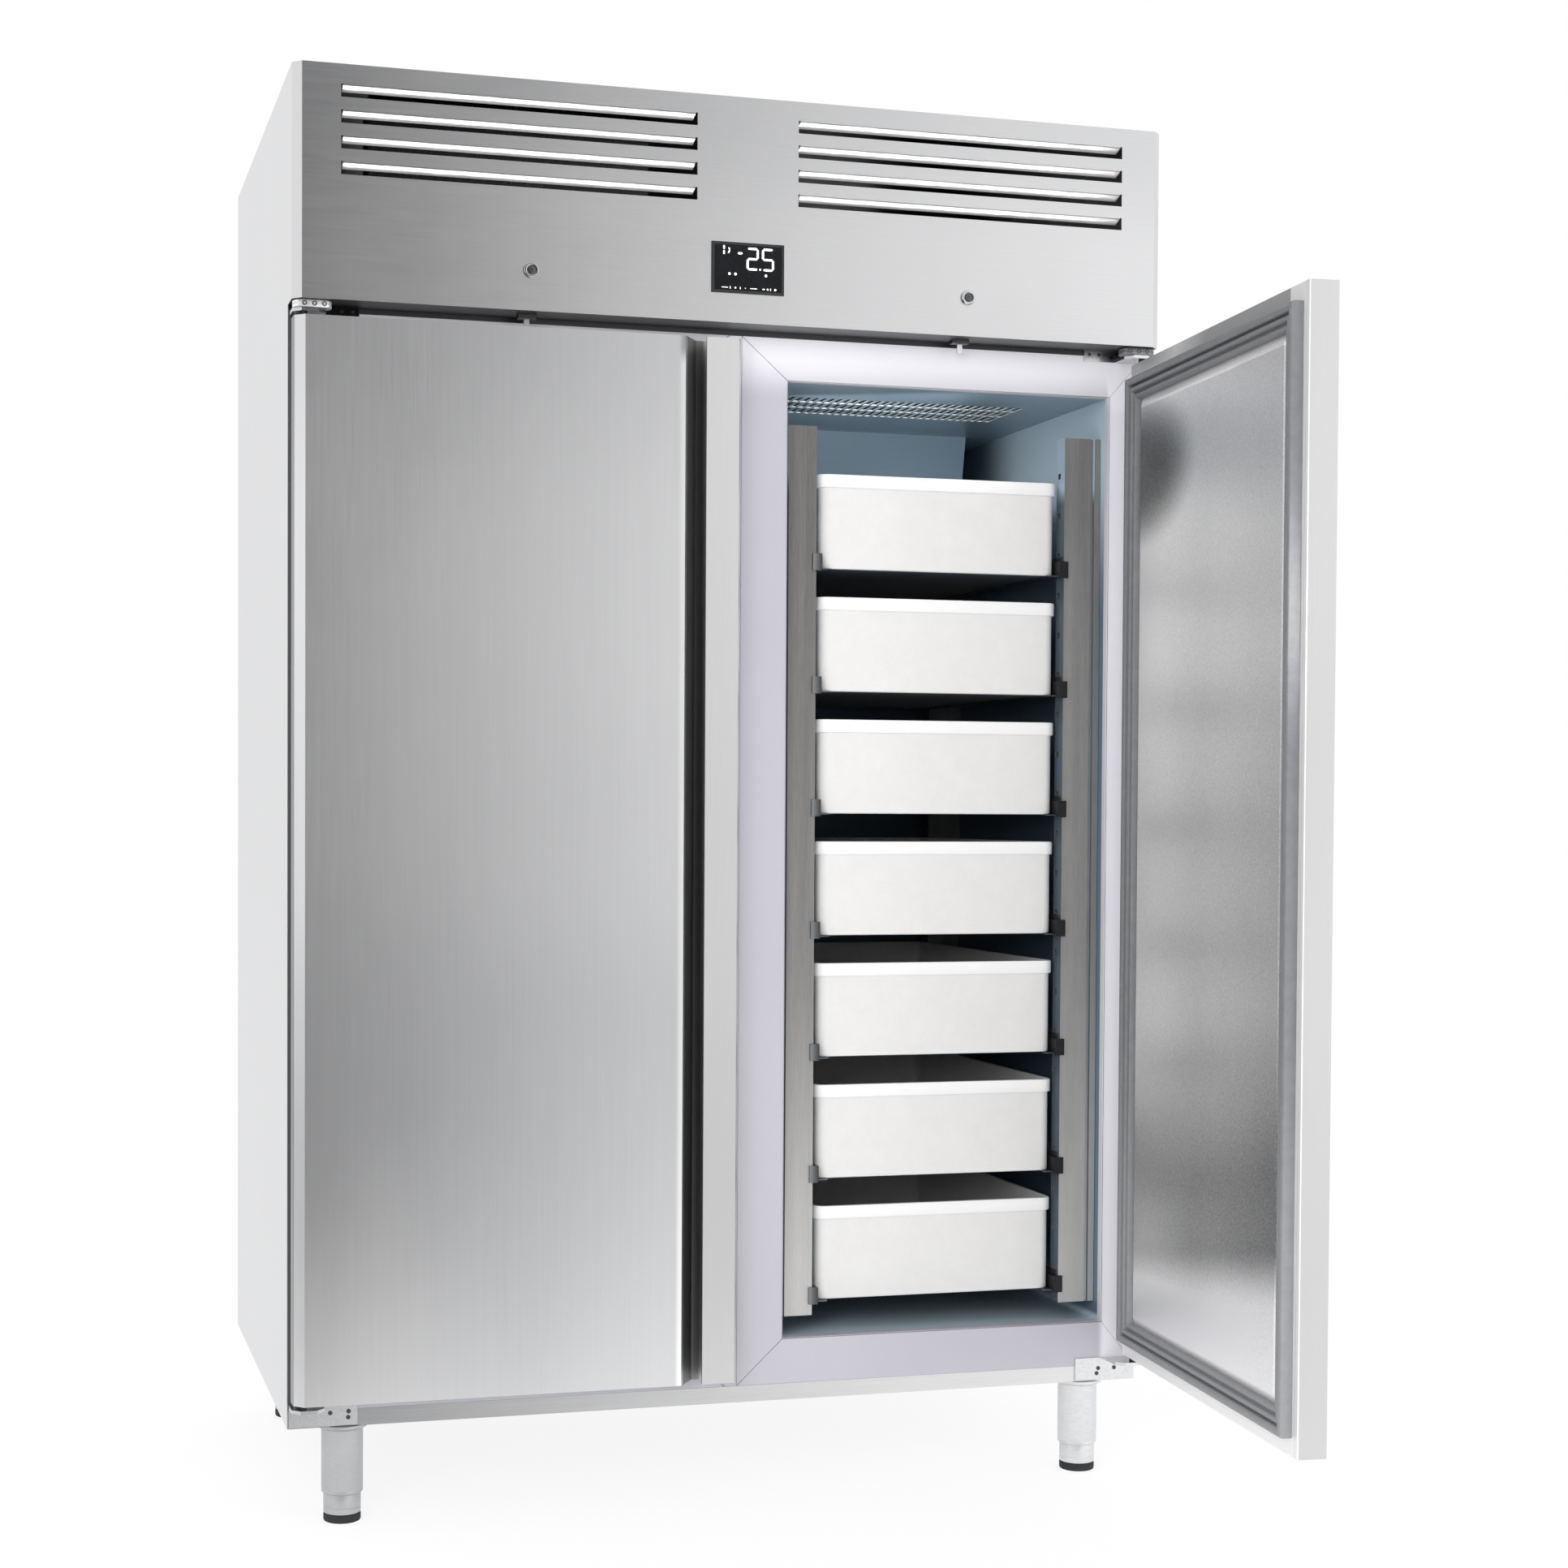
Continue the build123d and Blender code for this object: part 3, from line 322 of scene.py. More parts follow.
roof = Finish("roof_steel")
_, _, roof_z = roof.place()
roof_grain = roof.cloud(grain_level, 3.0, 0.6)
roof_under, roof_over = 2.0991, 2.0996
# Under roof_under the sheet is painted black and not metallic, as the shade inside the compartment.
roof_steel = roof.coat({
    "Base Color": roof.blend(
        roof.blend("D3D4D6", "EDEDEE", roof_grain),
        "0C0D0F", roof_z.ramp(roof_over, roof_under)),
    "Metallic": roof_z.ramp(roof_under, roof_over),
    "Roughness": 0.36 + (roof_grain - 0.5) * 0.12,
}, roof_grain, 0.00012, 0.35)
dress(roof_steel, "top_cover")

zinc = Finish("galvanised_back")
flake = zinc.node("ShaderNodeSeparateColor", values={"Color": zinc.cells(60, "Color")})
galvanised_sheet = zinc.coat({
    "Base Color": zinc.blend(
        "A9AEB3", "CDD1D4", (flake * 0.6 + zinc.cloud(9) * 0.5).held()),
    "Metallic": 0.85,
    "Roughness": 0.42 + flake * 0.16,
}, flake, 0.00008, 0.4)
dress(galvanised_sheet, "back_panel")


# The insulated box: polyurethane foam, blown between the outer sheets and the linings, cream
# coloured with small cells. Where it meets the plenum over the bays, and between the bays, it is
# painted dark as shade.
def grained(name, dark, light, grain, rough, relief=(), mottle=(), values=None):
    """A plain finish: a fine grain, over soft mottling, sets its tone, roughness and relief."""
    finish = Finish(name)
    fine = shade = finish.cloud(*grain)
    if mottle:
        share, rest, *broad = mottle
        shade = (fine * share + finish.cloud(*broad) * rest).held()
    return finish.coat({
        "Base Color": finish.blend(dark, light, shade),
        "Roughness": rough[0] + fine * (rough[1] - rough[0]),
        **(values or {}),
    }, *((fine, *relief) if relief else ()))


foam = Finish("cream_foam")
foam_cells = foam.cells(700)
cream_foam = foam.coat({
    "Base Color": foam.blend(
        "C9B98C", "EFE3BD", (foam_cells * 0.7 + foam.cloud(18) * 0.5).held()),
    "Roughness": 0.92,
}, foam_cells, 0.0006, 0.6)
dress(cream_foam, "side_insulation", "floor_insulation", "rear_insulation",
      "left_door_core", "right_door_core")

# The foam over the bays and between them is painted dark, as the shade behind the ceiling slots.
foam_shade = grained(
    "foam_painted_shade", "15191D", "2B3238", (35, 4.0, 0.7), (0.45, 0.65), relief=(0.0006, 0.5))
dress(foam_shade, "ceiling_insulation", "mullion_insulation")


# Bay linings: seamless pressed stainless steel with round inner corners and a cold blue cast. Belt
# marks run across it. Painted light makes it bright under the ceiling, most of all on the right wall,
# and near the floor; painted shade darkens it between the boxes and at the rear corner.
lining = Finish("bay_lining_steel")
lining_x, lining_y, lining_z = lining.place()
lining_grain = lining.cloud((10, 700, 700), 3.0, 0.6)
lining_cloud = lining.cloud(4)
right_wall = lining_x.ramp(0.606, 0.609)
# The rear corner is painted dark as shade, and lit_part paints light under the ceiling and near the floor.
rear_corner_shade = lining_y.ramp(0.31, 0.49) * lining_x.ramp(0.603, 0.608) * lining_z.ramp(1.35, 1.5)
lit_part = (lining_z.ramp(1.35, 1.62) * (0.36 + right_wall * 0.64) + lining_z.ramp(0.25, 0.24)).held()
shaded_lining = lining.blend(
    "5A6F83", "8298AC", lining_grain * 0.5 + lining_cloud * 0.5)
lit_lining = lining.blend(
    "C2DAEA", "E6F6FF", lining_grain * 0.4 + lining_cloud * 0.6)
lining_steel = lining.coat({
    "Base Color": lining.blend(shaded_lining, lining.blend(lit_lining, "46596A", rear_corner_shade), lit_part),
    "Metallic": 0.2,
    "Roughness": (0.34 + (lining_grain - 0.5) * 0.14).held(0.1, 0.8),
}, lining_grain, 0.0001, 0.3)
dress(lining_steel, "bay_liners")


# Door frames: flat strips of pale anodised profile round each opening, mitred at the corners, with
# a narrow return into the bay and one cover strip up the middle between the two frames.
def smoothed(thing):
    """Shades a piece smooth, apart from its sharp edges."""
    work = bmesh.new()
    work.from_mesh(thing.data)
    bmesh.ops.recalc_face_normals(work, faces=work.faces)
    for face in work.faces:
        face.smooth = True
    for edge in work.edges:
        edge.smooth = len(edge.link_faces) == 2 and edge.calc_face_angle() < math.radians(35)
    work.to_mesh(thing.data)
    work.free()
    return thing


def fitted(thing, material, body, slot, *instead_of):
    """Puts a piece on the body that carries it, in the place of the pieces named."""
    thing.data.materials.append(material)
    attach(thing, body)
    if instead_of:
        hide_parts(*instead_of)


def skinned(name, rings, capped=True):
    """A skin over rings of points, each ring joined to the next, with or without its two ends."""
    count = len(rings[0])
    faces = []
    for ring in range(len(rings) - 1):
        low, high = ring * count, (ring + 1) * count
        faces += [(low + i, low + (i + 1) % count, high + (i + 1) % count, high + i) for i in range(count)]
    if capped:
        faces.append(tuple(reversed(range(count))))
        faces.append(tuple(range((len(rings) - 1) * count, len(rings) * count)))
    return smoothed(laid(name, [point for ring in rings for point in ring], faces))


def united(name, things):
    """Several meshes as one piece."""
    work = bmesh.new()
    for thing in things:
        work.from_mesh(thing.data)
        bpy.data.objects.remove(thing)
    mesh = bpy.data.meshes.new(name)
    work.to_mesh(mesh)
    work.free()
    piece = bpy.data.objects.new(name, mesh)
    bpy.context.scene.collection.objects.link(piece)
    return piece


def block(name, x, y, z):
    """A plain length of strip or bar between two x, two y and two z values."""
    return skinned(name, [[spot(u, v, height) for u, v in rectangle(*x, *y)] for height in z])


strip_front, strip_back = 62.0, 64.0
strip_inner, strip_outer, strip_foot, strip_head = 10, 668.8, 170, 1761
opening_inner, opening_outer, sill_top, head_under = 82, 614, 238, 1698
mitre_gap, cover_half = 0.4, 9.8
post_lip, sill_lip, head_lip = 1.6, 1.4, 1.2
lip_back, sill_back = 77, 84

anodised = Finish("pale_frame_profile")
frame_x, _, frame_z = anodised.place()
frame_grain = anodised.cloud(500)
frame_mottle = anodised.cloud(5)
# Painted shade darkens the left strip's outer edge, and painted light brightens the head strip and the right
# strip.
left_edge_shade = frame_x.ramp(-0.664, -0.666)
frame_painted_light = (frame_z.ramp(1.665, 1.74) * 0.9 + frame_x.ramp(0.6, 0.612) * 0.75).held(0, 0.95)
frame_shade = 0.12 + (frame_mottle - 0.5) * 0.12 + frame_painted_light + (frame_grain - 0.5) * 0.08 - left_edge_shade * 1.5
pale_frame = anodised.coat({
    "Base Color": anodised.blend(
        anodised.blend("B3B1BB", "55565A", left_edge_shade), "F4F3F9", frame_shade.held()),
    "Metallic": 0.1,
    "Roughness": 0.42 + (frame_grain - 0.5) * 0.1,
}, frame_grain, 0.00006, 0.4)

frame_strips = []
outside = rectangle(strip_inner, strip_outer, strip_foot, strip_head)
inside = rectangle(opening_inner, opening_outer, sill_top, head_under)
between_lips = (opening_inner + post_lip, opening_outer - post_lip)
for side in (-1, 1):
    for corner in range(4):
        after = (corner + 1) % 4
        run = mitre_gap if corner in (0, 1) else -mitre_gap
        step = (run, 0) if corner in (0, 2) else (0, run)
        plan = [(x + way * step[0], z + way * step[1]) for (x, z), way in (
            (outside[corner], 1), (outside[after], -1), (inside[after], -1), (inside[corner], 1))]
        frame_strips.append(skinned(
            f"frame_strip_{side}_{corner}",
            [[spot(side * x, y, z) for x, z in plan] for y in (strip_front, strip_back)]))
    for name, x, z, back in (
            ("inner_post", (opening_inner, between_lips[0]), (sill_top, head_under), lip_back),
            ("outer_post", (between_lips[1], opening_outer), (sill_top, head_under), lip_back),
            ("sill", between_lips, (sill_top, sill_top + sill_lip), sill_back),
            ("head", between_lips, (head_under - head_lip, head_under), lip_back)):
        frame_strips.append(block(
            f"frame_return_{side}_{name}", sorted((side * x[0], side * x[1])), (strip_back, back), z))
frame_strips.append(block(
    "frame_cover", (-cover_half, cover_half), (strip_front, strip_back), (strip_foot, strip_head)))
door_frames = united("mitred_door_frames", frame_strips)
ease = door_frames.modifiers.new("eased_edges", "BEVEL")
ease.width, ease.segments = 0.00055, 1
ease.limit_method, ease.angle_limit = "ANGLE", math.radians(40)
fitted(door_frames, pale_frame, "cabinet", "stainless_frame", "door_frames")


# Ceiling grilles and air deflectors: each bay has a false ceiling of punched steel, three rows of
# slots under its fan, and behind them an outlet with a sloping plate that turns the air down.
def punched(name, across, along, place, is_open, thickness):
    """A punched sheet, cut along two sets of lines, whose open cells are left out."""
    corners = [place(u, v) for u in across for v in along]
    rows, faces = len(along), []
    for i in range(len(across) - 1):
        for j in range(rows - 1):
            if not is_open((across[i] + across[i + 1]) / 2, (along[j] + along[j + 1]) / 2):
                faces.append((i * rows + j, (i + 1) * rows + j, (i + 1) * rows + j + 1, i * rows + j + 1))
    sheet = laid(name, corners, faces)
    thick = sheet.modifiers.new("sheet_thickness", "SOLIDIFY")
    thick.thickness, thick.offset, thick.material_offset_rim = thickness / 1000, 0, 1
    return sheet


ceiling = Finish("punched_ceiling_steel")
grille_x, _, grille_z = ceiling.place()
grille_grain = ceiling.cloud((12, 700, 700), 3.0)
grille_mottle = grille_grain * 0.5 + ceiling.cloud(6) * 0.5
# Painted shade darkens the grille towards the right wall, and a painted dark reflection lies on the
# deflector's near end.
deflector_dark_reflection = grille_z.ramp(1.697, 1.69) * grille_x.ramp(0.3, 0.22)
grille_painted_shade = (grille_x.ramp(0.1, 0.3) * 0.5 + deflector_dark_reflection * 0.5).held()
ceiling_steel = ceiling.coat({
    "Base Color": ceiling.blend(
        ceiling.blend("93ABBC", "BCD2E0", grille_mottle), "6D8495", grille_painted_shade),
    "Metallic": 0.2,
    "Roughness": 0.3 + (grille_grain - 0.5) * 0.12,
}, grille_grain, 0.0001, 0.3)

# The slots' cut edges are painted near white, as a painted highlight.
cut_edge_highlight = grained(
    "cut_edge_painted_highlight", "DCE8F0", "F8FCFF", (900,), (0.3, 0.4), values={"Metallic": 0.1})

ceiling_inner, ceiling_outer, ceiling_front, ceiling_rear = 80, 616, 64, 770
outlet_inner, outlet_outer, outlet_front, outlet_rear = 142, 554, 522, 640
ceiling_height, ceiling_thickness = 1699.5, 2.0
row_start, row_pitch, slot_length = 206, 53, 44
column_start, column_pitch, slot_width = 97, 13.2, 9.0


def is_punched(u, v):
    """Whether a cell of the ceiling is a slot or a part of the outlet."""
    in_column = any(low < u < high for low, high in slot_columns)
    in_row = any(low < v < high for low, high in slot_rows)
    in_outlet = outlet_inner < u < outlet_outer and outlet_front < v < outlet_rear
    return in_outlet or (in_column and in_row)


slot_rows = [(row_start + row_pitch * row, row_start + row_pitch * row + slot_length) for row in range(3)]
slot_columns = [(column_start + column_pitch * column, column_start + column_pitch * column + slot_width)
                for column in range(33)]
across = sorted({ceiling_inner, outlet_inner, outlet_outer, ceiling_outer,
                 *[edge for slot in slot_columns for edge in slot]})
along = sorted({ceiling_front, outlet_front, outlet_rear, ceiling_rear,
                *[edge for slot in slot_rows for edge in slot]})
for side, name in ((-1, "left_ceiling_grille"), (1, "right_ceiling_grille")):
    grille = punched(
        name, across, along, lambda u, v: spot(side * u, v, ceiling_height), is_punched, ceiling_thickness)
    fitted(grille, ceiling_steel, "cabinet", "stainless_inner", *(["ceiling_grilles"] if side > 0 else []))
    grille.data.materials.append(cut_edge_highlight)
dress(ceiling_steel, "air_deflectors")


# Fascia: one folded and punched stainless sheet whose louvre fins are bent in from their slots. The
# sheet under it closes the compartment and guides the two lock bolts.
front_steel = Finish("front_steel")
front_x, front_y, front_z = front_steel.place()
front_in = front_y - front_low.y
# Painted light makes the louvre fins near white and the corner folds paler; painted shade darkens the sheet
# towards its top and its left.
fin_part = front_in.ramp(0.0013, 0.0019) * front_x.size().ramp(0.63, 0.62)
corner_painted_light = front_in.ramp(0.0005, 0.0015) * (front_x - front_middle.x).size().ramp(0.656, 0.658)
belt = front_steel.cloud((12, 800, 800), 3.0, 0.6)
handled = front_steel.cloud(3, 3.0, 0.62)
front_shade = ((belt - 0.5) * 0.3 + 0.72 + (handled - 0.5) * 0.12
               - front_z.ramp(1.9, 2.08) * 0.2 - front_x.ramp(-0.2, -0.66) * 0.26).held()
fin_painted_light = front_steel.blend("EFEFEF", "FAFAFA", belt)
fascia_steel = front_steel.coat({
    "Base Color": front_steel.blend(
        front_steel.blend("BABBBD", "E6E6E7", front_shade),
        front_steel.blend(fin_painted_light, "DDDDDE", corner_painted_light),
        (fin_part + corner_painted_light).held()),
    "Metallic": 1 - fin_part * 0.9,
    "Roughness": (0.33 + (belt - 0.5) * 0.12 + (handled - 0.5) * 0.1).held(0.08, 0.9),
    "Anisotropic": 0.35,
}, belt, 0.00012, 0.35)
dress(fascia_steel, "fascia")
# The rail under the fascia is painted dark, as the shade in the gap over the doors.
dress(brushed_steel("shaded_steel", "77787A", "5A5B5D", (12, 800, 800), 0.42), "fascia_rail")


# Thermostat: a moulded black bezel round a black glass, behind which white light segments show the
# temperature, with two lamps under it and a row of small marks for the keys.
black_moulding = grained(
    "black_moulding", "121315", "26282B", (900,), (0.26, 0.46),
    relief=(0.00005, 0.5), mottle=(0.5, 0.4, 20.0))
dress(black_moulding, "controller")

black_glass = grained(
    "black_display_glass", "0B0C0E", "191B1E", (40, 3.0), (0.22, 0.32), values={"Specular IOR Level": 0.12})
dress(black_glass, "display_glass")

lamp_white = Finish("segment_light")
glow_grain = lamp_white.cloud(300, 1.0)
segment_light = lamp_white.coat({
    "Base Color": lamp_white.blend("E8EEF2", "FFFFFF", glow_grain),
    "Emission Color": lamp_white.blend("E6EDF4", "FFFFFF", glow_grain),
    "Emission Strength": 0.9,
    "Roughness": 0.3,
})

display_z = 1848.5
light_back, light_front = -2.02, -2.14


def light_mark(outline):
    """A thin flat light on the glass, its outline in millimetres from the glass's middle."""
    return skinned("light_mark", [
        [spot(x, y, display_z + z) for x, z in outline] for y in (light_back, light_front)])


def light_bar(start, end, wide):
    """One light segment, a bar with pointed ends."""
    (x0, z0), (x1, z1) = start, end
    length = math.hypot(x1 - x0, z1 - z0)
    run, rise = (x1 - x0) / length * wide / 2, (z1 - z0) / length * wide / 2
    return light_mark([
        (x0, z0), (x0 + run - rise, z0 + rise + run), (x1 - run - rise, z1 - rise + run),
        (x1, z1), (x1 - run + rise, z1 - rise - run), (x0 + run + rise, z0 + rise - run)])


def light_dot(x, z, radius):
    """One round lamp."""
    turns = [2 * math.pi * step / 14 for step in range(14)]
    return light_mark([(x + radius * math.cos(turn), z + radius * math.sin(turn)) for turn in turns])


def numeral(left, right, bottom, top, lit):
    """A numeral made of the lit ones of seven segments."""
    middle, wide, gap = (bottom + top) / 2, 3.1, 0.35
    runs = {name: ((left + gap, z), (right - gap, z))
            for name, z in (("top", top), ("middle", middle), ("bottom", bottom))}
    for end, x in (("left", left), ("right", right)):
        runs[f"upper_{end}"] = (x, top - gap), (x, middle + gap)
        runs[f"lower_{end}"] = (x, middle - gap), (x, bottom + gap)
    return [light_bar(*runs[name], wide) for name in lit]


digit_low, digit_high, lamp_row, key_row = -1.2, 29.0, -9.5, -29.6
lights = numeral(-1.0, 14.6, digit_low, digit_high, ("top", "upper_right", "middle", "lower_left", "bottom"))
lights += numeral(22.7, 38.3, digit_low, digit_high, ("top", "upper_left", "middle", "lower_right", "bottom"))
lights += [
    light_bar((-16.4, 21.4), (-8.6, 21.4), 3.0), light_dot(18.4, -1.0, 1.5),
    light_bar((-37.4, 32.4), (-37.4, 26.0), 2.5), light_bar((-37.4, 24.8), (-37.4, 18.4), 2.5),
    light_bar((-30.4, 29.2), (-28.4, 25.6), 2.0), light_bar((-28.4, 25.0), (-31.2, 20.6), 2.0)]
lights += [light_dot(x, lamp_row, 2.0) for x in (-28.9, -19.7, 27.4)]
lights += [light_bar((start, key_row), (end, key_row), wide) for start, end, wide in (
    (-41, -31, 1.1), (-28.0, -27.2, 3.0), (-12.6, -11.8, 3.0), (-5.2, -3.4, 1.4), (3, 14, 1.0),
    (22, 26, 1.6), (34.4, 35.2, 3.0))]
lights += [light_dot(x, key_row, radius) for x, radius in ((-19.6, 1.3), (30.2, 1.4), (42.0, 1.7))]
fitted(united("display_segments", lights), segment_light, "cabinet", "display")


# Hinges: polished brackets bolted to the frame over and under each door, each with a fixed pin that
# turns in a nylon bush in the door. The pin's upper end is held in a polished knuckle, and small
# socket screws hold the plates. The left upper plate is painted dark, as the shade in the gap under the
# fascia.
polished = Finish("polished_bracket")
bracket_x, bracket_y, bracket_z = polished.place()
polish_marks = polished.cloud(260, 4.0, 0.7)
# The left upper plate is painted dark, as the shade in the gap under the fascia.
upper_plate_shade = bracket_z.ramp(1.74, 1.75) * (bracket_y - front_low.y).ramp(0.0585, 0.0592)
polished_bracket = polished.coat({
    "Base Color": polished.blend(
        polished.blend("B7B8BA", "EBECEE", (polish_marks * 0.8 + 0.1).held()),
        polished.blend("2C2D2F", "48494B", polish_marks),
        upper_plate_shade * bracket_x.ramp(0.1, -0.1)),
    "Metallic": 1.0,
    "Roughness": 0.16 + polish_marks * 0.14,
}, polish_marks, 0.00008, 0.3)
dress(polished_bracket, "hinge_brackets")


def turned_piece(name, middle, toward, profile, count):
    """A turned piece: its profile is (radius, distance along the axis) in millimetres."""
    axes = Vector(toward).to_track_quat("Z", "Y").to_matrix()
    across, up, out = axes.col[0], axes.col[1], axes.col[2]
    turns = [2 * math.pi * step / count for step in range(count)]
    return skinned(name, [
        [middle + (across * math.cos(turn) + up * math.sin(turn)) * radius / 1000 + out * along / 1000
         for turn in turns] for radius, along in profile])


def socket_screw(middle, radius):
    """A low round head with a socket in it, which faces the front."""
    return turned_piece("bracket_screw", middle, (0, -1, 0), [
        (radius, -0.4), (radius, 0.5), (radius * 0.82, 0.95), (radius * 0.5, 1.0), (radius * 0.44, 0.6),
        (radius * 0.42, 0.1)], 18)


knuckle_x, knuckle_y, knuckle_run, knuckle_end, knuckle_depth = 640, 24, 18.5, 9.5, 14
knuckle_levels = ((1757.4, 0.97), (1758.4, 1.0), (1761.6, 1.0), (1762.2, 0.95), (1762.8, 1.0),
                  (1766.4, 1.0), (1767.4, 0.96))
half_turn = [math.pi * (step / 8 - 0.5) for step in range(9)]
knuckle_outline = [(end * (knuckle_run + knuckle_end * math.cos(turn)), -end * knuckle_depth * math.sin(turn))
                   for end in (-1, 1) for turn in half_turn]
knuckles = [
    skinned("knuckle", [
        [spot(side * (knuckle_x + x * share), knuckle_y + y * share, z) for x, y in knuckle_outline]
        for z, share in knuckle_levels])
    for side in (-1, 1)]
cast = Finish("bright_cast_knuckle")
cast_x, _, _ = cast.place()
cast_grain = cast.cloud(300, 4.0, 0.7)
# The right knuckle is painted darker, as shade.
knuckle_metal = cast.coat({
    "Base Color": cast.blend(
        cast.blend("D4D5D7", "FFFFFF", cast_grain), "5C5D5F", cast_x.ramp(-0.1, 0.1) * 0.8),
    "Metallic": 0.5,
    "Roughness": 0.2 + cast_grain * 0.16,
}, cast_grain, 0.0001, 0.4)
fitted(united("hinge_knuckles", knuckles), knuckle_metal, "cabinet", "stainless_fitting")

plate_front, knuckle_front, upper_screw_z, knuckle_screw_z = 59.5, 10.2, 1762.6, 1762.5
lower_screws = [
    (-607.6, 166.0), (-580.8, 167.2), (-581.4, 158.4), (607.2, 165.2), (604.6, 157.2), (634.5, 165.0)]
screws = [socket_screw(spot(x, plate_front, z), 3.3) for x, z in lower_screws]
screws += [
    socket_screw(spot(side * x, plate_front, upper_screw_z), 2.6)
    for side in (-1, 1) for x in (577, 593, 621)]
screws += [
    turned_piece("knuckle_screw", spot(side * x, knuckle_front, knuckle_screw_z), (0, -1, 0), [
        (3.6, -0.6), (3.6, 0.3), (2.2, 0.5), (1.9, 0.0)], 14)
    for side in (-1, 1) for x in (652, 638, 624)]
# Dark steel for the screws, which also paints the locks' key faces dark as shade.
dark_screw_and_key_shade = grained(
    "dark_screw_and_key_shade", "3A3B3D", "77787A", (600,), (0.34, 0.44), values={"Metallic": 0.9})
fitted(united("bracket_screws", screws), dark_screw_and_key_shade, "cabinet", "stainless_fitting")


# Bay furniture: folded steel uprights with square slots every 63 mm, and angle runners on nylon
# clips, which are black, and a paler grey by the right bay's inner wall.
upright = Finish("upright_steel")
post_x, _, post_z = upright.place()
post_grain = upright.cloud((1100, 1100, 26), 3.0, 0.65)
post_flow = upright.cloud((60, 60, 1.5))
# Painted light makes the uprights lighter towards the floor and on the right; the darker copy of the steel is
# their painted shade.
post_light = (post_z.ramp(1.7, 0.9) * 0.22 + post_z.ramp(0.9, 0.25) * 0.7
              + post_x.ramp(0.5, 0.56) * 0.3 + (post_flow - 0.5) * 0.4).held()
post_steel = upright.coat({
    "Base Color": upright.blend(
        upright.blend("615F5E", "878583", ((post_grain - 0.5) * 1.6 + 0.5).held()),
        upright.blend("B4B3B1", "D6D5D3", post_grain), post_light),
    "Metallic": 0.55,
    "Roughness": 0.42 + (post_grain - 0.5) * 0.2,
}, post_grain, 0.0002, 0.45)

# The faces across the bay take a paler, bluer copy of the upright steel as painted light, painted dark as
# shade below the top box.
flange = Finish("upright_flange_steel")
_, _, flange_z = flange.place()
flange_grain = flange.cloud((700, 700, 16), 3.0)
flange_mottle = flange_grain * 0.5 + flange.cloud(6) * 0.5
flange_steel = flange.coat({
    "Base Color": flange.blend(
        flange.blend("9DB4C8", "D5E5F2", flange_mottle),
        flange.blend("46505A", "7A8691", flange_grain), flange_z.ramp(1.565, 1.53)),
    "Metallic": 0.2,
    "Roughness": 0.4 + (flange_grain - 0.5) * 0.1,
}, flange_grain, 0.0001, 0.3)

post_low, post_high, post_depth, post_sheet = 265.0, 1637.0, 30, 1.2
top_slot, post_slot_pitch, post_slot_height = 1574, 63, 9
slot_near, slot_far, slotted_part = 14.5, 26.5, 1
groove_start, groove_end, groove_depth, groove_slope = 44, 51, 4, 1
post_slots = [(top_slot - post_slot_pitch * step, top_slot - post_slot_pitch * step + post_slot_height)
              for step in range(21)]


def folded_post(name, wall_x, flange_x, front, toward):
    """One upright: a slotted flange, the front face with a shallow groove, and a flange on the wall."""
    way = 1 if wall_x > flange_x else -1
    wall, groove = wall_x - way * 0.6, front + groove_depth * toward
    line = [(flange_x, front + post_depth * toward), (flange_x, front + slot_far * toward),
            (flange_x, front + slot_near * toward), (flange_x, front),
            (flange_x + way * groove_start, front), (flange_x + way * (groove_start + groove_slope), groove),
            (flange_x + way * (groove_end - groove_slope), groove), (flange_x + way * groove_end, front),
            (wall, front), (wall, front + post_depth * toward), (flange_x, front + post_depth * toward)]
    levels = sorted({post_low, post_high, *[edge for slot in post_slots for edge in slot]})
    return punched(
        name, range(len(line)), levels, lambda u, z: spot(*line[u], z),
        lambda u, z: int(u) == slotted_part and any(low < z < high for low, high in post_slots), post_sheet)


post_places = [(side * wall_x, side * flange_x, front, toward) for side in (-1, 1)
               for wall_x, flange_x in ((80.6, 141.4), (615.4, 554.6))
               for front, toward in ((98.6, 1), (719.4, -1))]
for number, place in enumerate(post_places, 1):
    post = folded_post(f"bay_upright_{number}", *place)
    fitted(post, post_steel, "cabinet", "stainless_inner", *(["bay_uprights"] if number == 1 else []))
    post.data.materials.append(flange_steel)
    for face in post.data.polygons:
        face.material_index = int(abs(face.normal.x) > 0.9)

runner_steel = grained(
    "runner_steel", "4A5157", "7B838A", ((700, 12, 700), 3.0), (0.33, 0.43),
    relief=(0.0001, 0.3), mottle=(0.6, 0.4, 7.0), values={"Metallic": 0.8})
dress(runner_steel, "box_runners")

clip = Finish("runner_clip_nylon")
clip_x, _, _ = clip.place()
clip_grain = clip.cloud(500)
clip_nylon = clip.coat({
    "Base Color": clip.blend(
        clip.blend("0C0D0F", "1F2124", clip_grain),
        clip.blend("B9BDC0", "D6D9DB", clip_grain),
        (clip_x.ramp(0.15, 0.1) * clip_x.ramp(-0.1, 0.0)).held()),
    "Roughness": 0.4 + clip_grain * 0.1,
}, clip_grain, 0.00006, 0.4)
dress(clip_nylon, "runner_clips")


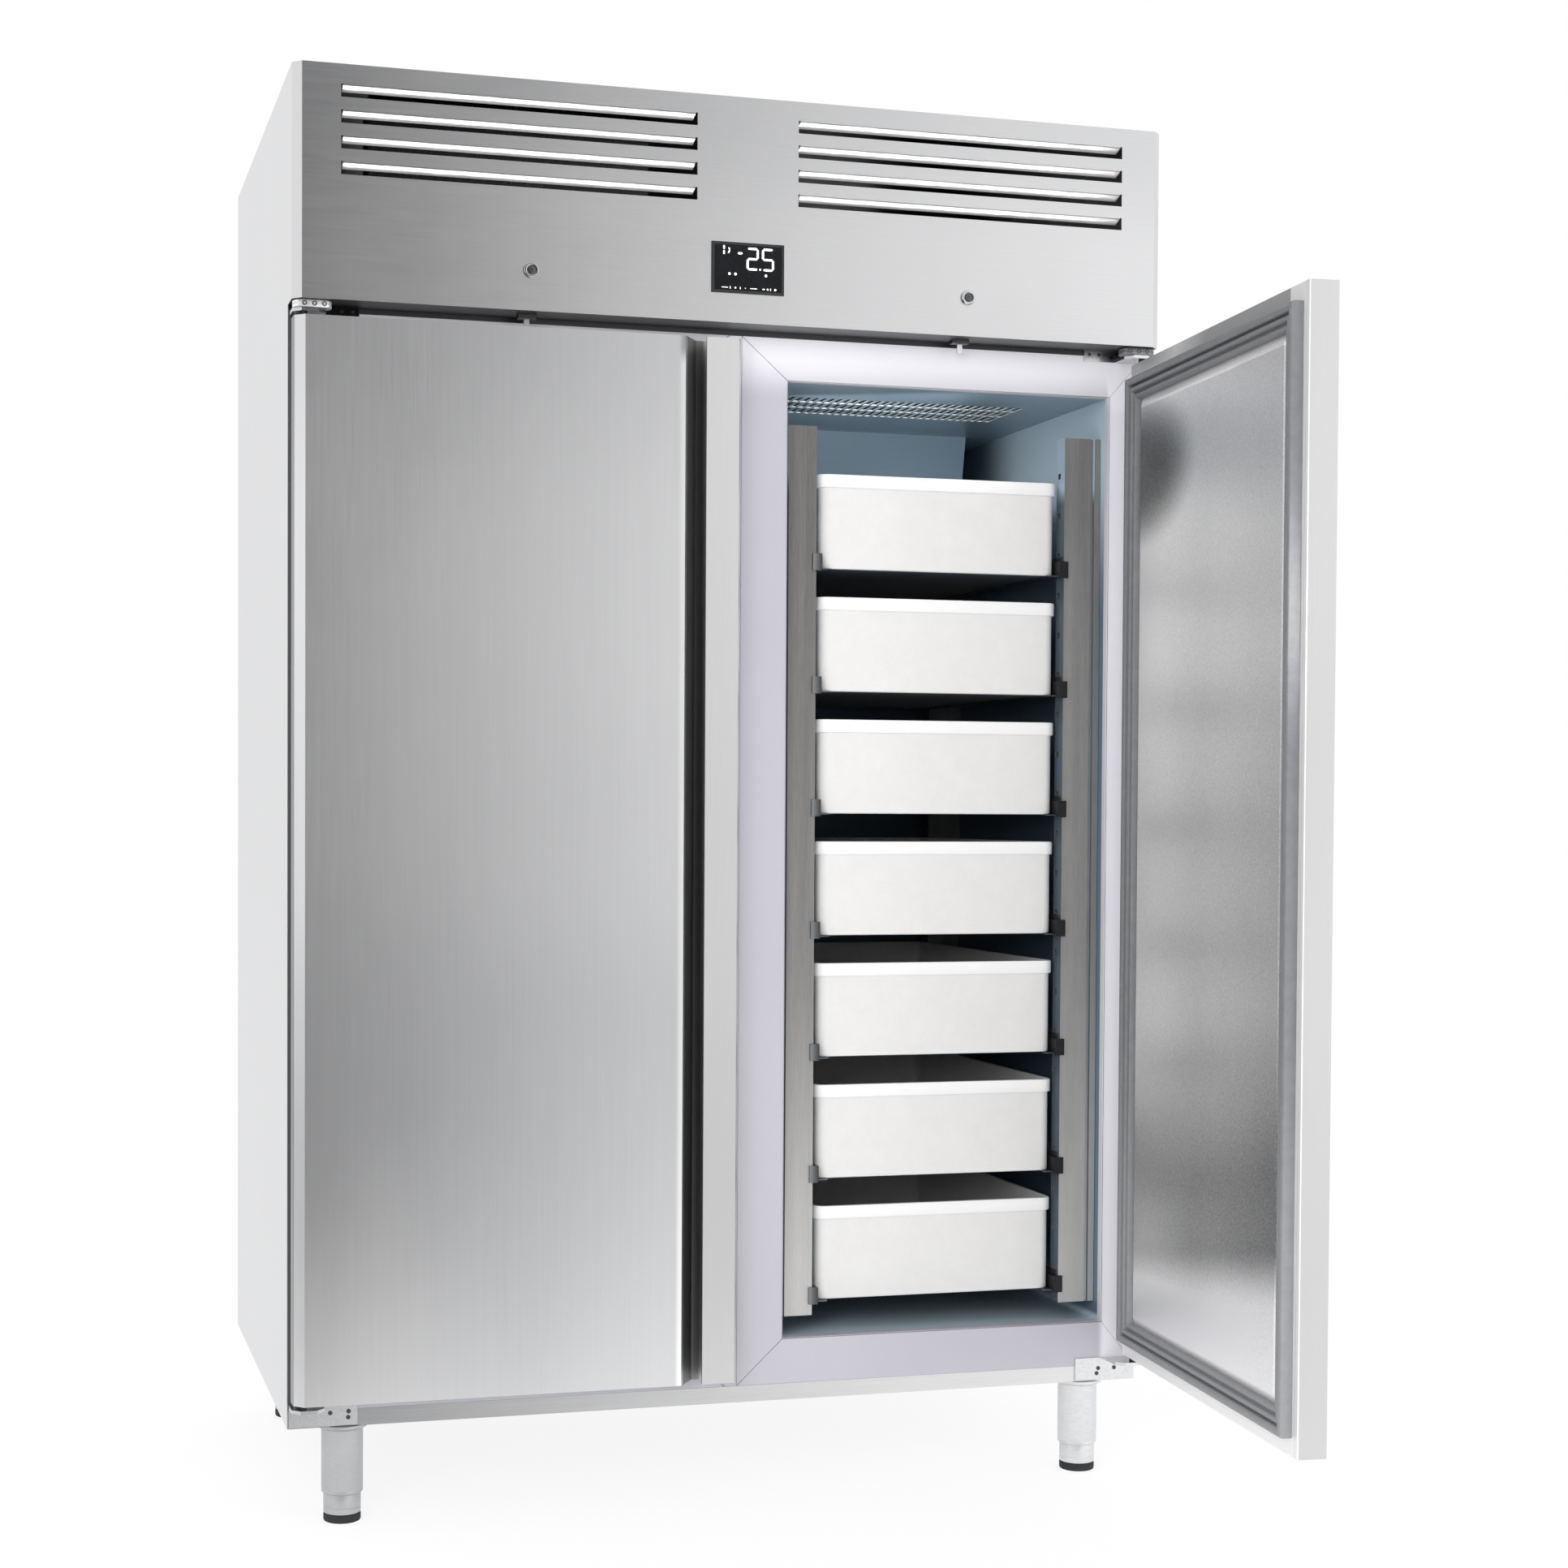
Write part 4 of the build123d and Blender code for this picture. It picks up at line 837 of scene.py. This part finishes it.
# Dough boxes: injection moulded in white polypropylene, with thin walls, round corners and a thick
# rim that stands proud of the walls. Each slides on its own pair of runners.
plastic = Finish("white_polypropylene")
mottle = plastic.cloud(26, 4.0, 0.7)
skin_grain = plastic.cloud(420, 2.0, 0.6)
white_moulding = plastic.coat({
    "Base Color": plastic.blend(
        "DEDDDB", "ECEBEA", ((mottle - 0.5) * 0.8 + (skin_grain - 0.5) * 0.5 + 0.55).held()),
    "Roughness": 0.4 + (mottle - 0.5) * 0.2,
    "Subsurface Weight": 0.08,
    "Subsurface Radius": (0.004, 0.004, 0.004),
}, skin_grain * 0.7 + mottle * 0.3, 0.00025, 0.35)

# The rim is a lighter copy of the white moulding, as painted light, and the base is painted dark as shade.
rim_painted_light = grained(
    "white_rim_painted_light", "F0F0EF", "FAFAFA", (420, 2.0, 0.6), (0.34, 0.44),
    relief=(0.0001, 0.3), mottle=(0.5, 0.5, 26.0, 3.0))
shaded_base = grained(
    "shaded_box_base", "3E4955", "5A6673", (300,), (0.5, 0.6),
    relief=(0.0001, 0.3), mottle=(0.4, 0.6, 7.0))

box_width, box_length, box_height, box_corner = 392, 592, 146, 16
box_x, box_y, top_rim, box_pitch, box_count = 348, 406, 1566, 189, 7
rim_low, rim_inner = 125, 145
box_section = [
    (-14, 0.0), (-3.2, 0.0), (-0.9, 1.0), (0, 3.2), (0, 124.2), (0.5, 125.6), (3.2, 126.0), (3.9, 127.0),
    (4, 143.8), (3.3, 145.5), (1.9, 146.0), (-1.9, 146.0), (-3.0, 145.4), (-3.5, 143.8), (-3.5, 8.5),
    (-4.6, 5.2), (-8, 3.8), (-16, 3.5)]


def corner_ring(out, z):
    """The box's outline at one height, so far outside its wall, as a ring of points."""
    corner = max(box_corner + out, 4)
    across, along = box_width / 2 + out - corner, box_length / 2 + out - corner
    points = []
    for quarter, (sx, sy) in enumerate(((1, 1), (-1, 1), (-1, -1), (1, -1))):
        for step in range(7):
            turn = math.pi / 2 * (quarter + step / 6)
            x = box_x + sx * across + corner * math.cos(turn)
            y = box_y + sy * along + corner * math.sin(turn)
            points.append(spot(x, y, z))
    return points


for number in range(1, box_count + 1):
    low = top_rim - box_height - box_pitch * (number - 1)
    box = skinned(f"moulded_dough_box_{number}", [corner_ring(out, low + up) for out, up in box_section])
    fitted(box, white_moulding, f"dough_box_{number}", "box_plastic", f"dough_box_{number}")
    box.data.materials.append(rim_painted_light)
    box.data.materials.append(shaded_base)
    for face in box.data.polygons:
        height = face.center.z * 1000 - low
        inward = face.normal.dot(face.center - spot(box_x, box_y, face.center.z * 1000)) < 0
        on_rim = height > rim_low and (height > rim_inner or not inward)
        face.material_index = 2 if height < 0.5 else int(on_rim)


# Legs: turned stainless tubes under the four corners, each with a flange at the cabinet, and in
# each a narrower foot that screws up and down and stands on a black rubber pad.
leg = Finish("turned_leg_steel")
leg_x, _, _ = leg.place()
leg_grain = leg.cloud((90, 90, 900), 3.0)
leg_mottle = leg_grain * 0.6 + leg.cloud(12) * 0.4
# The left legs take a darker copy of the steel as painted shade, the right legs a lighter one as painted
# light.
turned_steel = leg.coat({
    "Base Color": leg.blend(
        leg.blend("A4A5A7", "C8C9CB", leg_mottle),
        leg.blend("CCCDCF", "EEEFF1", leg_grain), leg_x.ramp(-0.1, 0.1)),
    "Metallic": 0.55,
    "Roughness": 0.42 + (leg_grain - 0.5) * 0.14,
}, leg_grain, 0.0001, 0.3)
black_rubber = grained(
    "black_pad_rubber", "141517", "333538", (140, 4.0, 0.7), (0.62, 0.82), relief=(0.0003, 0.5))

leg_side, leg_front, leg_rear = 586, 92, 752
sleeve_section = [
    (8.2, 43), (29.4, 43), (30.5, 44.2), (30.5, 46), (30.1, 46.6), (30.1, 48.4), (30.5, 49), (30.5, 134),
    (31.4, 137), (34.6, 139.4), (37.4, 140.6), (38, 141.4), (38, 144.9), (8.2, 144.9)]
foot_section = [
    (9, 12.2), (25.6, 12.2), (27.2, 13.2), (27.4, 15), (27.4, 20), (26.9, 20.6), (26.9, 22.2), (27.4, 22.8),
    (27.4, 41), (26.6, 42.4), (9, 42.4)]
pad_section = [
    (4, 0.0), (25.2, 0.0), (26.8, 0.9), (27.4, 2.6), (27.5, 9.8), (26.8, 11.6), (25.4, 12.1), (4, 12.1)]
sleeves = []
for name, x, y in (("front_left_foot", -leg_side, leg_front), ("front_right_foot", leg_side, leg_front),
                   ("rear_left_foot", -leg_side, leg_rear), ("rear_right_foot", leg_side, leg_rear)):
    sleeves.append(turned_piece("sleeve", spot(x, y, 0), (0, 0, 1), sleeve_section, 48))
    tube = turned_piece(f"{name}_tube", spot(x, y, 0), (0, 0, 1), foot_section, 48)
    fitted(tube, turned_steel, name, "stainless_fitting", name)
    pad = turned_piece(f"{name}_pad", spot(x, y, 0), (0, 0, 1), pad_section, 48)
    fitted(pad, black_rubber, name, "black_plastic")
fitted(united("leg_tubes", sleeves), turned_steel, "cabinet", "stainless_fitting", "leg_sleeves")


# Cooling unit: the cold coil is aluminium fins on copper tubes, the fans are black glass-filled nylon,
# and the condenser, the motors and the compressor are dipped in black enamel.
fins = Finish("coil_fins")
fin_x, _, _ = fins.place()
fin_wave = (fin_x * 2100).sine() * 0.5 + 0.5
coil_metal = fins.coat({
    "Base Color": fins.blend("6E7276", "D3D6D8", (fin_wave * 0.8 + fins.cloud(30) * 0.3).held()),
    "Metallic": 0.9,
    "Roughness": 0.36 + fin_wave * 0.1,
}, fin_wave, 0.0012, 0.8)
dress(coil_metal, "evaporator_coil")
black_enamel = grained(
    "black_enamel", "0E0F11", "232528", (260, 3.0), (0.2, 0.36),
    relief=(0.0002, 0.4), mottle=(0.5, 0.5, 8.0), values={"Coat Weight": 0.25})
dress(black_enamel, "compressor", "evaporator_fan_motors", "condenser")
dress(black_moulding, "electrical_box", "cable_gland",
      "left_evaporator_fan", "right_evaporator_fan", "condenser_fan")


# Doors: a folded and belt-ground steel pan round foam, with a full-height grip strip at the free
# edge, and on the inner side a pan of bright sheet inside the gasket. The left one is shut, and the
# right one stands open, so each finish finds its door by the side that it is on.
hinge_x, hinge_y, door_back, door_opening = 655, 27, 43, 85
swing = math.radians(door_opening)


def inner_face(x, y, opened):
    """1 on the side of a door that faces the bay when it is shut."""
    from_hinge_line = (y - hinge_y / 1000) * math.cos(swing) - (x - hinge_x / 1000) * math.sin(swing)
    return opened * from_hinge_line.ramp(0.0138, 0.0152) + (1 - opened) * y.ramp(0.0415, 0.0425)


def along_door(x, y, opened):
    """How far a place on a door is from its hinge."""
    return (hinge_y / 1000 - y) * opened + (x + hinge_x / 1000) * (1 - opened)


def door_grain(finish):
    """The upright belt marks of a door, and its places from the middle of the cabinet's front."""
    x, y, z = finish.place()
    return finish.cloud((800, 800, 10), 3.0, 0.6), x - front_middle.x, y - front_low.y, z


shell = Finish("door_steel")
shell_belt, shell_x, shell_y, shell_z = door_grain(shell)
shell_streak = shell.cloud((184, 184, 2.3))
shell_hand = shell.cloud(3, 3.0, 0.62)
shell_opened = shell_x.ramp(0.5, 0.55)
# Painted shade darkens the grip channel and the rear of the left door's outer side; a painted highlight
# lights the fold at its free edge.
channel_shade = shell_y.ramp(0.004, 0.008) * shell_x.ramp(-0.098, -0.095) * shell_x.ramp(-0.04, -0.05)
fold_highlight = shell_x.ramp(-0.106, -0.097) * shell_x.ramp(-0.06, -0.07) * shell_y.ramp(0.003, 0.001)
side_edge_shade = shell_x.ramp(-0.6655, -0.6665) * shell_y.ramp(0.0125, 0.0135)
inner_part = inner_face(shell_x, shell_y, shell_opened)
# A painted highlight lies across the head of the inner side, which is otherwise painted darker at the top.
head_highlight = 1 - ((along_door(shell_x, shell_y, shell_opened) - 0.17) / 0.12).size().held()
inner_tone = 1 - shell_z.ramp(1.7, 1.73) * (1 - head_highlight * 0.8)
shell_fine = (shell_belt * 0.6 + shell_streak * 0.4 - 0.5) * 0.3 + (shell_hand - 0.5) * 0.1
# The outer skin carries painted light and shade up its height: lighter in the middle and low on the left,
# darker at the top.
shell_foot_light = shell_z.ramp(0.62, 0.28) * shell_x.ramp(-0.3, -0.6)
shell_tone = (shell_fine + 0.32 + shell_z.ramp(0.72, 1.0) * 0.22 + shell_z.ramp(1.0, 1.35) * 0.12
              - shell_z.ramp(1.45, 1.75) * 0.2 + shell_foot_light * 0.5).held()
outer_skin = shell.blend("C8C9CB", "F6F6F7", shell_tone)
# The inner side takes a paler, less metallic copy of the steel, as painted light.
inner_skin = shell.blend("B2B3B4", "FBFBFB", (inner_tone + shell_fine * 0.4).held())
painted_shade_tone = shell.blend("58595A", "7A7B7C", shell_tone)
door_steel = shell.coat({
    "Base Color": shell.blend(
        shell.blend(outer_skin, inner_skin, (inner_part + fold_highlight).held()),
        painted_shade_tone, (channel_shade * 0.7 + side_edge_shade * 0.85).held()),
    "Metallic": (1 - inner_part * 0.55 - side_edge_shade * 0.5).held(),
    "Roughness": (0.34 + (shell_belt - 0.5) * 0.12 + (shell_hand - 0.5) * 0.1).held(0.08, 0.9),
    "Anisotropic": 0.35,
}, shell_belt, 0.00012, 0.35)
dress(door_steel, "left_door_shell", "right_door_shell")

grip = Finish("grip_steel")
grip_belt, grip_x, grip_y, grip_z = door_grain(grip)
grip_opened = grip_x.ramp(0.5, 0.55)
# Painted shade darkens the channel and the fold lines on the inner side; painted light brightens the strip
# towards the top, and the open door's strip is painted darker.
grip_channel_shade = (grip_y.ramp(0.003, 0.006) * grip_y.ramp(0.042, 0.04)
                * grip_x.ramp(-0.05, -0.06) * grip_x.ramp(-0.12, -0.1))
grip_inner = inner_face(grip_x, grip_y, grip_opened)
grip_run = along_door(grip_x, grip_y, grip_opened)
fold_line_shade = ((1 - ((grip_run - 0.6335) / 0.0016).size().held())
              + (1 - ((grip_run - 0.6385) / 0.0012).size().held()) * 0.6)
grip_tone = ((grip_belt - 0.5) * 0.5 + 0.4 + grip_z.ramp(0.9, 1.5) * 0.35).held()
grip_steel = grip.coat({
    "Base Color": grip.blend(
        grip.blend(
            grip.blend("DEDEDE", "F6F6F6", (grip_tone - grip_opened * 0.55).held()),
            grip.blend("D0D0D0", "FAFAFA", (grip_inner * (1 - fold_line_shade * 0.8)).held()),
            (grip_z.ramp(0.95, 0.25) + grip_inner).held()),
        "6A6A6A", grip_channel_shade * 0.8),
    "Metallic": 1 - grip_inner * 0.55,
    "Roughness": 0.4 + (grip_belt - 0.5) * 0.12,
    "Anisotropic": 0.35,
}, grip_belt, 0.00012, 0.35)
dress(grip_steel, "left_door_grip", "right_door_grip")

pan = Finish("inner_pan_steel")
pan_x, pan_y, pan_z = pan.place()
pan_grain = pan.cloud(300, 3.0, 0.6)
pan_cloud = pan.cloud(3.2, 3.0, 0.6)
pan_opened = pan_x.ramp(0.2, 0.3)
away = (pan_x + 0.64) / 0.61 * (1 - pan_opened) - (pan_y - front_low.y) / 0.6 * pan_opened
# The pan's tone is painted: a painted dark reflection near its top by the hinge, a painted highlight on its
# bevels, painted shade low down, and painted light and shade in bands up its height.
spot_height = (pan_z - 1.57) / 0.13
spot_width = away / 0.44
dark_reflection_spot = (1 - (spot_height * spot_height + spot_width * spot_width)).ramp(0.0, 0.95)
slant = pan_z - away * 0.1
foot_shade = (1 - ((slant - 0.53) / 0.16).size()).ramp(0.0, 1.0) * (1 - away).ramp(0.5, 1.0)
bevel_highlight = (pan_z.ramp(1.668, 1.671) * (0.3 + (1 - ((away - 0.52) / 0.14).size()).ramp(0.0, 0.3) * 0.9)
         + away.ramp(0.985, 0.995) * 0.4)
pan_tone = (0.5 + pan_z.ramp(0.95, 1.35) * 0.2 - slant.ramp(0.72, 0.44) * 0.34 + slant.ramp(0.37, 0.28) * 0.9
            + (0.34 - away.ramp(0, 0.5) * 0.34 - away.ramp(0.5, 1.0) * 0.12)
            - dark_reflection_spot * 0.95 + bevel_highlight - foot_shade * 0.26)
pan_steel = pan.coat({
    "Base Color": pan.blend(
        "6A6B6C", "FCFCFD",
        (pan_tone + (pan_cloud - 0.5) * 0.14 + (pan_grain - 0.5) * 0.5).held()),
    "Metallic": 0.6,
    "Roughness": 0.42 + (pan_cloud - 0.5) * 0.14 + (pan_grain - 0.5) * 0.06,
}, pan_grain, 0.00008, 0.25)
dress(pan_steel, "left_door_panel", "right_door_panel")
dress(black_moulding, "left_door_bushes", "right_door_bushes")

seal = Finish("grey_seal_vinyl")
_, _, seal_z = seal.place()
seal_dust = seal.cloud(60, 4.0, 0.7)
# Painted light makes the seal lighter towards the bottom.
seal_tone = (seal_dust * 0.4 + 0.12 + seal_z.ramp(0.8, 0.3) * 0.35).held()
grey_seal = seal.coat({
    "Base Color": seal.blend("626366", "A2A3A6", seal_tone),
    "Roughness": 0.5 + (seal_dust - 0.5) * 0.2,
}, seal_dust, 0.0002, 0.3)

seal_free, seal_hinge, seal_low, seal_high = 26, 651, 215, 1720
seal_section = [
    (0.3, 0.0), (0.0, 4.0), (0.0, 13.5), (0.9, 16.4), (3.2, 17.9), (6.0, 18.1), (9.0, 17.6), (11.2, 15.8),
    (11.9, 13.0), (11.6, 8.2), (13.4, 7.0), (15.2, 8.4), (15.4, 12.6), (17.2, 14.7), (19.2, 15.0),
    (21.6, 14.2), (22.8, 12.0), (22.8, 7.4), (24.4, 6.4), (26.0, 7.2), (26.6, 9.8), (28.4, 11.2),
    (31.0, 11.3), (33.2, 9.6), (34.0, 6.8), (33.8, 0.0)]
hinge_line = spot(hinge_x, hinge_y, 0)
swung_open = Matrix.Translation(hinge_line) @ Matrix.Rotation(swing, 4, "Z") @ Matrix.Translation(-hinge_line)
for side, name, moved in ((-1, "left", Matrix.Identity(4)), (1, "right", swung_open)):
    rings = [
        [moved @ spot(side * x, door_back + rise, z) for x, z in rectangle(
            seal_free + inset, seal_hinge - inset, seal_low + inset, seal_high - inset)]
        for inset, rise in seal_section]
    gasket = skinned(f"{name}_door_seal", rings, capped=False)
    fitted(gasket, grey_seal, f"{name}_door", "seal", f"{name}_door_gasket")


# Locks: chromed key barrels in the fascia, each with a crank behind it and a flat steel bolt that
# drops through its guide into the door.
# The lock chrome is painted darker, as shade.
shaded_chrome = grained(
    "shaded_chrome", "A4A6A9", "E4E6E8", (500, 3.0), (0.12, 0.26), values={"Metallic": 1.0})
dress(shaded_chrome, "left_lock", "right_lock")
dress(polished_bracket, "left_bolt", "right_bolt")

lock_front, lock_z = -2.2, 1826
rim_section = [(10.9, -0.3), (10.9, 0.2), (10.0, 1.3), (8.6, 1.6), (7.4, 1.2), (6.9, 0.2), (6.9, -0.3)]
key_section = [(6.6, -0.2), (6.6, 0.3), (6.2, 0.5), (1.6, 0.5), (1.4, 0.1)]
for name, x in (("left_lock", -327), ("right_lock", 349)):
    rim = turned_piece(f"{name}_rim", spot(x, lock_front, lock_z), (0, -1, 0), rim_section, 36)
    fitted(rim, shaded_chrome, name, "lock_metal")
    # The key face is painted dark, as the shade in the barrel.
    key_face = turned_piece(f"{name}_key_face", spot(x, lock_front, lock_z), (0, -1, 0), key_section, 30)
    fitted(key_face, dark_screw_and_key_shade, name, "lock_metal")
